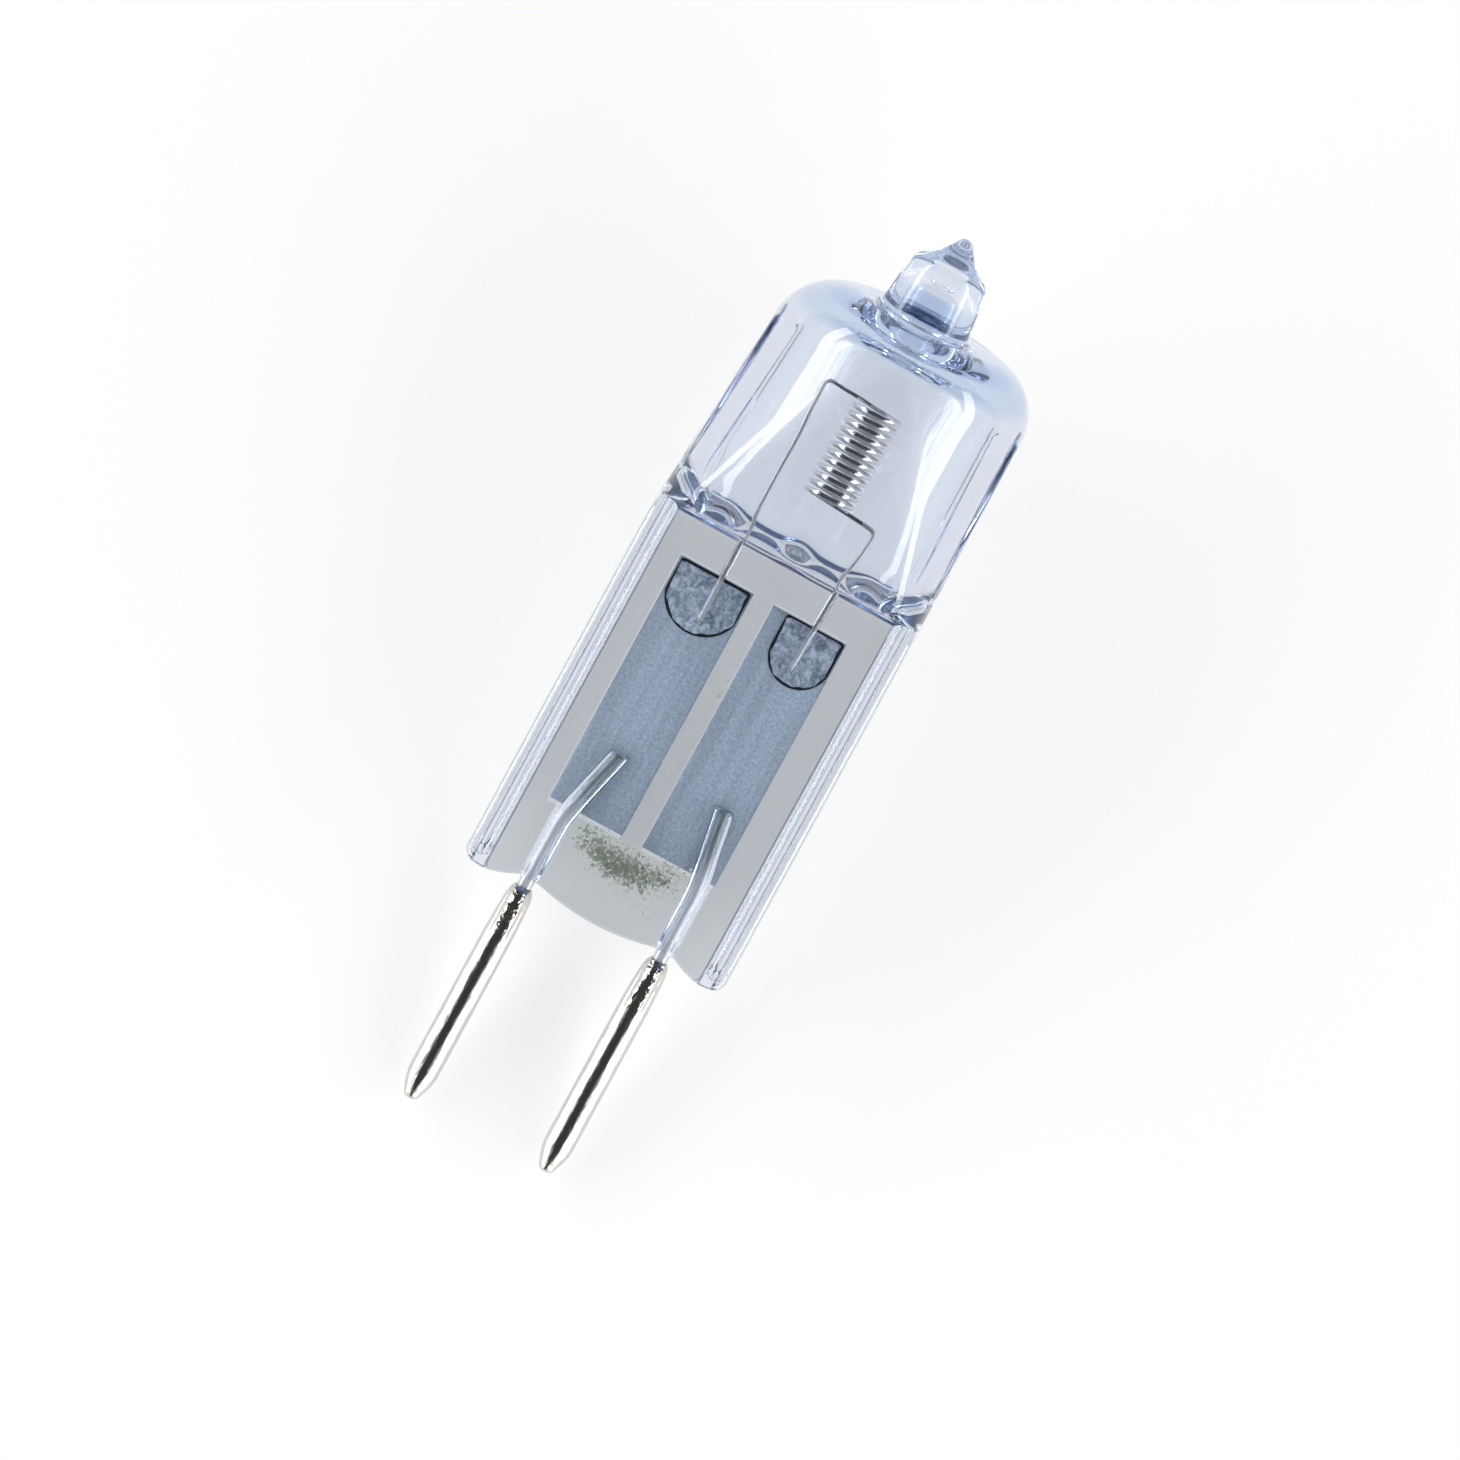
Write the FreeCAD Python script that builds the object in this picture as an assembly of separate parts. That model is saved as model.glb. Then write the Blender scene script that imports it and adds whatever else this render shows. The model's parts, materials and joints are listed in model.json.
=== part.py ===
import FreeCAD, Part
import math
import os

V = FreeCAD.Vector

# Capsule lamp with a pressed glass foot and two contact pins.
# All sizes are in millimetres. The lamp is drawn upright: X runs across the pinch,
# -Y is the front, Z runs up the lamp, and z = 0 is the lower edge of the pinch.
# It is laid down on its side at the end.

# Tube and dome of the quartz envelope
tube_radius_top = 5.72
tube_radius_foot = 6.08
tube_wall = 1.10
tube_foot_sink = 0.27
bulb_height = 11.68
bulb_lean_deg = 2.0
dome_shoulder_radius = 2.60
dome_wall = 1.20
dome_wall_steps = 2

# Exhaust tip on the dome
tip_x = 0.15
tip_sink = 0.30
tip_base_radius = 1.95
tip_flare = 0.45
tip_neck_radius = 1.80
tip_neck_height = 1.75
tip_bulge = 0.22
tip_waist_radius = 1.02
tip_waist_height = 2.80
tip_height = 3.84
tip_apex_radius = 0.28
tip_bore_radius = 1.25
tip_bore_height = 1.90
tip_bore_end_radius = 0.45
tip_bore_taper = 0.80
mouth_bead_width = 0.50
mouth_bead_drop = 0.42

# Shoulders pressed into the tube above the pinch
shoulder_into_dome = 0.05
shoulder_proud = 0.06
shoulder_foot_radius = 1.87
web_fillet = 0.50
chamber_floor_rise = 0.63
chamber_foot_radius = 3.02
chamber_corner_radius = 1.60

# Pinch: a flat web between rounded side beads
pinch_width = 12.14
web_thickness = 2.70
web_top_z = 16.87
pinch_side_radius = 0.35
bead_inset = 0.59
bead_radius = 0.38
bead_low_z = 0.45
bead_taper = 0.40
bead_into_shoulder = 0.60
pinch_corner_radius = 0.65
pinch_edge_radius = 0.40
pinch_lobe_z = 0.15
pinch_side_lobe_z = 0.02
pinch_side_lobe_rise = 0.08
pinch_notch_z = 0.52
pinch_notch_width = 0.92

# Molybdenum foils
foil_width = 3.40
foil_thickness = 0.04
foil_edge_thickness = 0.02
foil_edge_taper = 0.30
foil_low_z = 3.84
foil_below_web_top = 1.57
foil_left_x = -2.32
foil_right_x = 2.02

# Weld tabs between the foils and the filament legs
tab_thickness = 0.05
tab_left_x = -2.32
tab_left_width = 3.24
tab_right_x = 2.32
tab_right_width = 2.70
tab_below_foil_end = 0.04
tab_side_length = 1.50
tab_round_depth = 1.20
tab_corner_radius = 0.14
tab_gap = 0.05

# Tungsten filament
wire_radius = 0.10
wire_sides = 6
coil_radius = 1.02
coil_turns = 12
coil_pitch = 0.3475
coil_steps = 11
coil_x = 0.25
coil_above_floor = 4.83
coil_lean_back_deg = 7.5
coil_lean_side_deg = 1.5
leg_left_top_x = -2.27
leg_left_entry_x = -2.12
leg_left_low_x = -2.06
leg_right_top_x = 2.62
leg_right_entry_x = 2.36
leg_right_low_x = 2.16
leg_entry_height = 0.50
leg_weld_length = 2.10
leg_bend_radius = 0.30
leg_bend_steps = 2
leg_flat = 0.02
leg_gap = 0.05

# Lead wires
lead_radius = 0.33
lead_gap = 0.12
lead_flat = 0.05
lead_bend_z = 3.3
lead_bend_radius = 4.0
lead_weld_length = 2.91
lead_left_top_x = -2.32
lead_right_top_x = 2.60

# Contact pins
pin_spacing = 6.35
pin_radius = 0.65
pin_length = 10.06
pin_nose_length = 1.11
pin_end_radius = 0.26
pin_nose_fullness = 0.09
pin_shoulder_length = 2.0
pin_mouth_radius = 0.45
pin_mouth_z = 0.0
pin_bore_depth = 3.0
pin_bore_gap = 0.01
crimp_dent_radius = 4.0
crimp_dent_depth = 0.10
crimp_below_mouth = 1.5

# How far a cutting body runs past the surface that it cuts
overrun = 1.0

# Places and sizes that follow from the ones above
pinch_half = pinch_width / 2
web_half = web_thickness / 2
tube_foot_z = web_top_z - tube_foot_sink
dome_top_z = web_top_z + bulb_height
dome_start_z = dome_top_z - dome_shoulder_radius
shoulder_start_z = dome_start_z + shoulder_into_dome
shoulder_low_z = web_top_z + web_fillet
shoulder_depth = tube_radius_top + shoulder_proud
chamber_floor_z = web_top_z + chamber_floor_rise
tip_neck_z = dome_top_z + tip_neck_height
tip_waist_z = dome_top_z + tip_waist_height
tip_apex_z = dome_top_z + tip_height
tip_bore_end_z = dome_top_z + tip_bore_height
foil_high_z = web_top_z - foil_below_web_top
coil_centre_z = chamber_floor_z + coil_above_floor
foil_front_y = lead_radius - lead_flat
foil_mid_y = foil_front_y + foil_thickness / 2
tab_front_y = foil_front_y - tab_thickness
tab_high_z = foil_high_z - tab_below_foil_end
leg_y = tab_front_y - wire_radius + leg_flat
leg_end_z = tab_high_z - leg_weld_length
leg_entry_z = chamber_floor_z + leg_entry_height
lead_top_z = foil_low_z + lead_weld_length
pin_x = pin_spacing / 2
pin_low_z = pin_mouth_z - pin_length
pin_nose_z = pin_low_z + pin_nose_length
pin_shoulder_z = pin_mouth_z - pin_shoulder_length
lead_low_z = pin_mouth_z - pin_bore_depth
above_all = tip_apex_z + overrun
clear_side = tube_radius_foot + overrun


def line(start, end):
    return Part.LineSegment(start, end).toShape()


def arc(start, through, end):
    return Part.Arc(start, through, end).toShape()


def round_arc(centre_a, centre_b, radius, from_deg, to_deg, place):
    # A circular arc given by its centre and angles, in the plane that place() lays out
    points = []
    for angle in (from_deg, (from_deg + to_deg) / 2, to_deg):
        turn = math.radians(angle)
        points.append(place(centre_a + radius * math.cos(turn), centre_b + radius * math.sin(turn)))
    return arc(points[0], points[1], points[2])


def front_point(across, up):
    return V(across, 0, up)


def turned(edges):
    # A body turned about the vertical line through the origin
    face = Part.Face(Part.Wire(Part.__sortEdges__(edges)))
    return face.revolve(V(0, 0, 0), V(0, 0, 1), 360)


def pushed(edges, direction, half_length):
    # An outline pushed both ways along a direction
    face = Part.Face(Part.Wire(Part.__sortEdges__(edges)))
    face.translate(direction * -half_length)
    return face.extrude(direction * (2 * half_length))


def polyline(points):
    return [line(points[index], points[index + 1]) for index in range(len(points) - 1)]


def between(start, end, fullness):
    # The point half-way, moved outward to make a slope full
    return (start + end) * 0.5 + V(fullness, 0, fullness / 2)


def leaned(shape):
    # The bulb leans a little to the right of the pinch
    shape.rotate(V(0, 0, tube_foot_z), V(0, 1, 0), bulb_lean_deg)
    return shape


def touching_point(out, up, ball_up, ball_radius):
    # Where a straight line from a point outside touches a ball on the axis
    distance = math.hypot(out, ball_up - up)
    turn = math.atan2(up - ball_up, out) + math.acos(ball_radius / distance)
    return ball_radius * math.cos(turn), ball_up + ball_radius * math.sin(turn), math.degrees(turn)


def turned_bulb():
    # Tube and domed end in one turned shape
    at = front_point
    flat = tube_radius_top - dome_shoulder_radius
    edges = polyline([at(0, dome_start_z), at(0, tube_foot_z), at(tube_radius_foot, tube_foot_z),
                      at(tube_radius_top, dome_start_z)])
    edges.append(round_arc(flat, dome_start_z, dome_shoulder_radius, 0, 90, at))
    edges += polyline([at(flat, dome_top_z), at(0, dome_top_z), at(0, dome_start_z)])
    return leaned(turned(edges))


def exhaust_tip():
    # The stub left where the filling tube was melted off: flared foot, full neck, drawn-out point
    at = front_point
    ball_z = tip_apex_z - tip_apex_radius
    touch_out, touch_up, touch_deg = touching_point(tip_waist_radius, tip_waist_z, ball_z, tip_apex_radius)
    foot = tip_base_radius + tip_flare + tip_sink
    foot_z = dome_top_z - tip_sink
    neck = at(tip_neck_radius, tip_neck_z)
    waist = at(tip_waist_radius, tip_waist_z)
    edges = polyline([at(0, foot_z), at(foot, foot_z), at(tip_base_radius, dome_top_z + tip_flare), neck,
                      between(neck, waist, tip_bulge), waist, at(touch_out, touch_up)])
    edges.append(round_arc(0, ball_z, tip_apex_radius, touch_deg, 90, at))
    edges.append(line(at(0, tip_apex_z), at(0, foot_z)))
    tip = turned(edges)
    tip.translate(V(tip_x, 0, 0))
    return tip


def long_bend_radius(start_depth, start_z, tight, end_depth, end_z):
    # Radius of the long bend that meets a tight bend in line
    across = end_depth - start_depth
    down = end_z + tight - start_z
    return (across ** 2 + down ** 2 - tight ** 2) / (2 * (-across - tight))


def bent_side(start_depth, start_z, tight, end_depth, end_z, side):
    # A long bend and a tight bend that meet in line: straight down at the start, level at the end
    bend = long_bend_radius(start_depth, start_z, tight, end_depth, end_z)
    outward = V(0, end_depth - start_depth + bend, end_z + tight - start_z)
    turn_deg = math.degrees(math.atan2(outward.z, outward.y))

    def at(depth, up):
        return V(0, side * depth, up)

    return [
        round_arc(start_depth - bend, start_z, bend, 0, turn_deg, at),
        round_arc(end_depth, end_z + tight, tight, turn_deg, -90, at),
    ]


def side_outline():
    # How deep the lamp is from front to back at each height
    low_z = pinch_side_lobe_z
    flat = web_half - pinch_edge_radius
    edges = []
    for side in (-1, 1):
        def at(depth, up):
            return V(0, side * depth, up)

        edges.append(line(at(0, low_z), at(flat, low_z)))
        edges.append(round_arc(flat, low_z + pinch_edge_radius, pinch_edge_radius, -90, 0, at))
        edges.append(line(at(web_half, low_z + pinch_edge_radius), at(web_half, web_top_z)))
        edges.append(round_arc(web_half + web_fillet, web_top_z, web_fillet, 180, 90, at))
        edges += bent_side(shoulder_depth, shoulder_start_z, shoulder_foot_radius, web_half + web_fillet,
                           shoulder_low_z, side)
        edges += polyline([at(shoulder_depth, shoulder_start_z), at(clear_side, shoulder_start_z),
                           at(clear_side, above_all), at(0, above_all)])
    return pushed(edges, V(1, 0, 0), clear_side)


def front_outline():
    # Rounded lower corners and three lobes between the two lead wires
    low_z = pinch_side_lobe_z
    corner = pinch_corner_radius
    inner = pin_x - pinch_notch_width / 2
    outer = pin_x + pinch_notch_width / 2
    lobe_mid = (outer + pinch_half - corner) / 2
    edges = []
    for side in (-1, 1):
        def at(across, up):
            return V(side * across, 0, up)

        lobe = at(lobe_mid, low_z + pinch_side_lobe_rise)
        edges.append(arc(at(outer, pinch_notch_z), lobe, at(pinch_half - corner, low_z)))
        edges.append(round_arc(pinch_half - corner, low_z + corner, corner, -90, 0, at))
        edges.append(line(at(pinch_half, low_z + corner), at(pinch_half, above_all)))
        edges.append(line(at(pinch_half, above_all), at(0, above_all)))
        edges.append(line(at(inner, pinch_notch_z), at(outer, pinch_notch_z)))
    edges.append(arc(front_point(-inner, pinch_notch_z), front_point(0, pinch_lobe_z),
                     front_point(inner, pinch_notch_z)))
    return pushed(edges, V(0, 1, 0), clear_side)


def pinch_slab():
    # The flat foot: a long plate with rounded side edges
    inner = pinch_half - pinch_side_radius
    flat = web_half - pinch_side_radius
    edges = []
    for side in (-1, 1):
        def at(across, depth):
            return V(side * across, depth, 0)

        edges.append(line(at(pinch_half, -flat), at(pinch_half, flat)))
        edges.append(round_arc(inner, flat, pinch_side_radius, 0, 90, at))
        edges.append(round_arc(inner, -flat, pinch_side_radius, 0, -90, at))
    for face in (-1, 1):
        edges.append(line(V(-inner, face * web_half, 0), V(inner, face * web_half, 0)))
    return Part.Face(Part.Wire(Part.__sortEdges__(edges))).extrude(V(0, 0, web_top_z))


def side_beads():
    # Four beads along the edges of the pinch, with tapered lower ends
    at = front_point
    top_z = shoulder_low_z + bead_into_shoulder
    edges = polyline([at(0, bead_low_z), at(bead_radius, bead_low_z + bead_taper), at(bead_radius, top_z),
                      at(0, top_z), at(0, bead_low_z)])
    beads = []
    for side in (-1, 1):
        for face in (-1, 1):
            bead = turned(edges)
            bead.rotate(V(0, 0, 0), V(0, 0, 1), -90 * face)
            bead.translate(V(side * (pinch_half - bead_inset), face * web_half, 0))
            beads.append(bead)
    return beads


def chamber_sides():
    # How deep the chamber is from front to back: a blunt wedge that follows the shoulders
    depth = shoulder_depth - tube_wall
    edges = []
    for side in (-1, 1):
        def at(across, up):
            return V(0, side * across, up)

        edges += bent_side(depth, shoulder_start_z, chamber_foot_radius, 0, chamber_floor_z, side)
        edges += polyline([at(depth, shoulder_start_z), at(clear_side, shoulder_start_z),
                           at(clear_side, above_all), at(0, above_all)])
    return pushed(edges, V(1, 0, 0), clear_side)


def chamber_front():
    # A level floor with rounded corners
    half = tube_radius_foot - tube_wall
    corner = chamber_corner_radius
    edges = []
    for side in (-1, 1):
        def at(across, up):
            return V(side * across, 0, up)

        edges.append(line(at(0, chamber_floor_z), at(half - corner, chamber_floor_z)))
        edges.append(round_arc(half - corner, chamber_floor_z + corner, corner, -90, 0, at))
        edges += polyline([at(half, chamber_floor_z + corner), at(half, shoulder_start_z),
                           at(clear_side, shoulder_start_z), at(clear_side, above_all), at(0, above_all)])
    return pushed(edges, V(0, 1, 0), clear_side)


def chamber():
    # The sealed hollow that holds the coil, with the bore of the exhaust tip and the bead round its mouth
    at = front_point
    top_z = dome_top_z - dome_wall
    shoulder = top_z - dome_start_z
    flat = tube_radius_top - tube_wall - shoulder
    points = [at(0, tube_foot_z), at(tube_radius_foot - tube_wall, tube_foot_z)]
    for step in range(dome_wall_steps + 1):
        turn = math.pi / 2 * step / dome_wall_steps
        points.append(at(flat + shoulder * math.cos(turn), dome_start_z + shoulder * math.sin(turn)))
    points += [at(0, top_z), at(0, tube_foot_z)]
    hollow = leaned(turned(polyline(points))).common(chamber_sides()).common(chamber_front())

    crest = tip_bore_radius + mouth_bead_width
    bead_foot_z = top_z + tip_sink
    bead_z = top_z - mouth_bead_drop
    bead = turned(polyline([at(tip_bore_radius, bead_foot_z), at(tip_bore_radius, top_z), at(crest, bead_z),
                            at(crest + mouth_bead_width + tip_sink, bead_foot_z),
                            at(tip_bore_radius, bead_foot_z)]))
    bore = turned(polyline([at(0, bead_z), at(tip_bore_radius, bead_z),
                            at(tip_bore_radius, tip_bore_end_z - tip_bore_taper),
                            at(tip_bore_end_radius, tip_bore_end_z), at(0, tip_bore_end_z), at(0, bead_z)]))
    bead.translate(V(tip_x, 0, 0))
    bore.translate(V(tip_x, 0, 0))
    return hollow.cut(bead).fuse(bore)


def rounded_path(start, corner, end, radius):
    # Two straight runs joined by an arc that meets both in line
    back = (start - corner).normalize()
    ahead = (end - corner).normalize()
    half_angle = back.getAngle(ahead) / 2
    setback = radius / math.tan(half_angle)
    inward = (back + ahead).normalize()
    middle = corner + inward * (radius / math.sin(half_angle) - radius)
    first = corner + back * setback
    last = corner + ahead * setback
    return [line(start, first), arc(first, middle, last), line(last, end)]


def swept_round(edges, radius):
    first = edges[0]
    start = first.valueAt(first.FirstParameter)
    ahead = first.tangentAt(first.FirstParameter)
    ring = Part.Wire(Part.makeCircle(radius, start, ahead))
    return Part.Wire(edges).makePipeShell([ring], True, False)


def coil_points():
    # A right-handed coil that starts and ends at the back of the lamp
    lean = FreeCAD.Rotation(V(1, 0, 0), -coil_lean_back_deg)
    sway = FreeCAD.Rotation(V(0, 1, 0), coil_lean_side_deg)
    place = FreeCAD.Placement(V(coil_x, 0, coil_centre_z), sway.multiply(lean))
    points = []
    for step in range(coil_turns * coil_steps + 1):
        turns = step / coil_steps
        angle = math.radians(90 + 360 * turns)
        height = (turns - coil_turns / 2) * coil_pitch
        points.append(place.multVec(V(coil_radius * math.cos(angle), coil_radius * math.sin(angle), height)))
    slope = coil_pitch / (2 * math.pi * coil_radius)
    outward = place.Rotation.multVec(V(-1, 0, slope).normalize())
    return points, outward


def bend_points(before, corner, after, radius, steps):
    # Short straight runs round a corner
    back = (before - corner).normalize()
    ahead = (after - corner).normalize()
    half_angle = back.getAngle(ahead) / 2
    inward = (back + ahead).normalize()
    centre = corner + inward * (radius / math.sin(half_angle))
    across = (back - ahead).normalize()
    sweep = math.pi / 2 - half_angle
    points = []
    for step in range(steps + 1):
        turn = sweep * (1 - 2 * step / steps)
        points.append(centre + across * (radius * math.sin(turn)) - inward * (radius * math.cos(turn)))
    return points


def leg_points(coil_end, outward, top_x, entry_x, low_x):
    # From the coil outward to the bend, then down to the glass and on to the weld tab
    corner = coil_end + outward * ((top_x - coil_end.x) / outward.x)
    entry = V(entry_x, leg_y, leg_entry_z)
    points = bend_points(coil_end, corner, entry, leg_bend_radius, leg_bend_steps)
    return points + [entry, V(low_x, leg_y, leg_end_z)]


def filament_points():
    coil, outward = coil_points()
    left = leg_points(coil[-1], outward, leg_left_top_x, leg_left_entry_x, leg_left_low_x)
    right = leg_points(coil[0], outward * -1, leg_right_top_x, leg_right_entry_x, leg_right_low_x)
    return right[::-1] + coil + left


def mitred_wire(points, radius, sides):
    # A wire of straight runs with a many-sided section, mitred at each joint
    ahead = (points[1] - points[0]).normalize()
    across = ahead.cross(V(0, 1, 0)).normalize()
    up = ahead.cross(across)
    ring = []
    for side in range(sides):
        turn = 2 * math.pi * (side + 0.5) / sides
        ring.append(points[0] + across * (radius * math.cos(turn)) + up * (radius * math.sin(turn)))
    rings = [ring]
    for index in range(1, len(points)):
        run = (points[index] - points[index - 1]).normalize()
        normal = run
        if index < len(points) - 1:
            normal = (run + (points[index + 1] - points[index]).normalize()).normalize()
        reach = run.dot(normal)
        rings.append([corner + run * ((points[index] - corner).dot(normal) / reach) for corner in rings[-1]])
    faces = [Part.Face(Part.makePolygon(rings[0] + rings[0][:1])),
             Part.Face(Part.makePolygon(rings[-1] + rings[-1][:1]))]
    for low, high in zip(rings, rings[1:]):
        for side in range(sides):
            after = (side + 1) % sides
            corners = [low[side], low[after], high[after], high[side], low[side]]
            faces.append(Part.Face(Part.makePolygon(corners)))
    return Part.Solid(Part.Shell(faces))


def behind_plane(low_z, high_z, front_y):
    # Everything behind the plane that a wire is pressed against
    return Part.makeBox(2 * clear_side, clear_side, high_z - low_z, V(-clear_side, front_y, low_z))


def filament():
    wire = mitred_wire(filament_points(), wire_radius, wire_sides)
    return wire.cut(behind_plane(leg_end_z - overrun, tab_high_z, tab_front_y))


def leg_capillaries():
    # The narrow gap in the glass round each filament leg
    points = filament_points()
    gaps = []
    for low, entry in ((points[0], points[1]), (points[-1], points[-2])):
        run = entry - low
        below = low - run.normalize() * leg_gap
        gap = Part.makeCylinder(wire_radius + leg_gap, (entry - below).Length, below, run)
        gaps.append(gap.cut(behind_plane(leg_end_z - overrun, tab_high_z, tab_front_y)))
    return gaps


def foil(centre_x):
    # A thin strip with edges etched thinner than its middle
    half = foil_width / 2
    flat = half - foil_edge_taper
    thick = foil_thickness / 2
    thin = foil_edge_thickness / 2
    outline = [
        (-half, -thin), (-flat, -thick), (flat, -thick), (half, -thin),
        (half, thin), (flat, thick), (-flat, thick), (-half, thin), (-half, -thin),
    ]
    corners = [V(centre_x + x, foil_mid_y + y, foil_low_z) for x, y in outline]
    return Part.Face(Part.makePolygon(corners)).extrude(V(0, 0, foil_high_z - foil_low_z))


def weld_tab(centre_x, width, grow):
    # Flat top with small corners, straight sides and a round lower edge
    def at(across, up):
        return V(centre_x + across, tab_front_y, up)

    half = width / 2 + grow
    top = tab_high_z + grow
    side_z = tab_high_z - tab_side_length
    low = side_z - tab_round_depth - grow
    corner = tab_corner_radius
    edges = [
        line(at(corner - half, top), at(half - corner, top)),
        round_arc(half - corner, top - corner, corner, 90, 0, at),
        line(at(half, top - corner), at(half, side_z)),
        arc(at(half, side_z), at(0, low), at(-half, side_z)),
        line(at(-half, side_z), at(-half, top - corner)),
        round_arc(corner - half, top - corner, corner, 180, 90, at),
    ]
    return Part.Face(Part.Wire(edges)).extrude(V(0, tab_thickness, 0))


def lead(top_x, low_x):
    # A wire with one gentle bend, pressed flat where the foil is welded to it
    bend = V(low_x, 0, lead_bend_z)
    edges = rounded_path(V(top_x, 0, lead_top_z), bend, V(low_x, 0, lead_low_z), lead_bend_radius)
    wire = swept_round(edges, lead_radius)
    return wire.cut(behind_plane(foil_low_z, foil_high_z, foil_front_y))


def lead_capillary(top_x, low_x):
    # The gap between lead wire and glass, open at the lower edge of the pinch
    bend = V(low_x, 0, lead_bend_z)
    slope = (V(top_x, 0, lead_top_z) - bend).normalize()
    reach = (lead_top_z - lead_bend_z) / slope.z
    radius = lead_radius + lead_gap
    low = Part.makeCylinder(radius, lead_bend_z + overrun, V(low_x, 0, -overrun))
    high = Part.makeCylinder(radius, reach + 2 * lead_gap, bend - slope * lead_gap, slope)
    return low.fuse(high).cut(behind_plane(foil_low_z, foil_high_z, foil_front_y))


def envelope():
    bulb = turned_bulb().common(side_outline()).fuse(exhaust_tip())
    foot = pinch_slab().common(side_outline()).common(front_outline())
    glass = bulb.fuse(foot)
    for bead in side_beads():
        glass = glass.fuse(bead)
    hollows = [chamber()]
    hollows += leg_capillaries()
    hollows.append(lead_capillary(lead_left_top_x, -pin_x))
    hollows.append(lead_capillary(lead_right_top_x, pin_x))
    hollows.append(foil(foil_left_x))
    hollows.append(foil(foil_right_x))
    hollows.append(weld_tab(tab_left_x, tab_left_width, tab_gap))
    hollows.append(weld_tab(tab_right_x, tab_right_width, tab_gap))
    return glass.cut(hollows).removeSplitter()


def pin(centre_x):
    # A sleeve pressed on the lead wire: tapered mouth, a long dent front and back, bullet nose
    at = front_point
    end = at(pin_end_radius, pin_low_z)
    nose = at(pin_radius, pin_nose_z)
    full = between(end, nose, pin_nose_fullness)
    full.z = (pin_low_z + pin_nose_z) / 2 - pin_nose_fullness
    sleeve = turned(polyline([at(0, pin_low_z), end, full, nose, at(pin_radius, pin_shoulder_z),
                              at(pin_mouth_radius, pin_mouth_z), at(0, pin_mouth_z), at(0, pin_low_z)]))
    cuts = [Part.makeCylinder(lead_radius + pin_bore_gap, pin_bore_depth + overrun, V(0, 0, lead_low_z))]
    taper = (pin_radius - pin_mouth_radius) / pin_shoulder_length
    local_radius = pin_mouth_radius + taper * crimp_below_mouth
    height = pin_mouth_z - crimp_below_mouth
    for side in (-1, 1):
        start = V(-pin_radius - overrun, side * (local_radius - crimp_dent_depth + crimp_dent_radius), height)
        cuts.append(Part.makeCylinder(crimp_dent_radius, 2 * (pin_radius + overrun), start, V(1, 0, 0)))
    sleeve = sleeve.cut(cuts)
    sleeve.translate(V(centre_x, 0, 0))
    return sleeve


def rest_angle():
    # The lamp lies on the bent belly of its glass and on the ends of both pins
    bend = long_bend_radius(shoulder_depth, shoulder_start_z, shoulder_foot_radius, web_half + web_fillet,
                            shoulder_low_z)
    down = shoulder_depth - bend - pin_radius
    along = shoulder_start_z - pin_nose_z
    return math.atan2(down, along) + math.asin(bend / math.hypot(down, along))


def laid_down(shape):
    # Tip towards +Y, front upward, resting on the plane z = 0, centred over the origin
    angle = rest_angle()
    turn = FreeCAD.Rotation(V(1, 0, 0), math.degrees(angle) - 90)
    lift = pin_radius * math.cos(angle) - pin_nose_z * math.sin(angle)
    low_y = pin_low_z * math.cos(angle) - pin_end_radius * math.sin(angle)
    high_y = tip_apex_z * math.cos(angle)
    body = shape.Solids[0]
    body.Placement = FreeCAD.Placement(V(0, -(low_y + high_y) / 2, lift), turn).multiply(body.Placement)
    return body


def pieces():
    return {
        "envelope": envelope(),
        "filament": filament(),
        "foil_left": foil(foil_left_x),
        "foil_right": foil(foil_right_x),
        "weld_tab_left": weld_tab(tab_left_x, tab_left_width, 0),
        "weld_tab_right": weld_tab(tab_right_x, tab_right_width, 0),
        "lead_left": lead(lead_left_top_x, -pin_x),
        "lead_right": lead(lead_right_top_x, pin_x),
        "pin_left": pin(-pin_x),
        "pin_right": pin(pin_x),
    }


os.makedirs("parts", exist_ok=True)
for name, shape in pieces().items():
    print(name, len(shape.Solids), shape.isValid(), round(shape.Volume, 4))
    laid_down(shape).exportStep("parts/" + name + ".step")
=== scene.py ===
import json
import math

import bpy
import numpy as np
from mathutils import Matrix, Vector


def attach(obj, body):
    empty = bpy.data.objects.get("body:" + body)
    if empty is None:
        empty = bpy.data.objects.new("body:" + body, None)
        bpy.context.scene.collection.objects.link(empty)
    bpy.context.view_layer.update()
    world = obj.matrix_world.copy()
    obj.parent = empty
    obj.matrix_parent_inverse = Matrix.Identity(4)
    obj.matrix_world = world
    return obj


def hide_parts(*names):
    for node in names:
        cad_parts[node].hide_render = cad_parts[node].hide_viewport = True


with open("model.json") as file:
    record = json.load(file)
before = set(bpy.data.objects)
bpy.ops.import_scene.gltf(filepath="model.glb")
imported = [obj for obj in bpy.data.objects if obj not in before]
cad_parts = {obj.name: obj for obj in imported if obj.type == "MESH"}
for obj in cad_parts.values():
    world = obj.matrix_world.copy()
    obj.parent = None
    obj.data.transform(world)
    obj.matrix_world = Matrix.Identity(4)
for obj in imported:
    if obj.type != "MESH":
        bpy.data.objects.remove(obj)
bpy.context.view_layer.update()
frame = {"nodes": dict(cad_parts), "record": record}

mounts = frame["record"]["mounts"]

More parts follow.
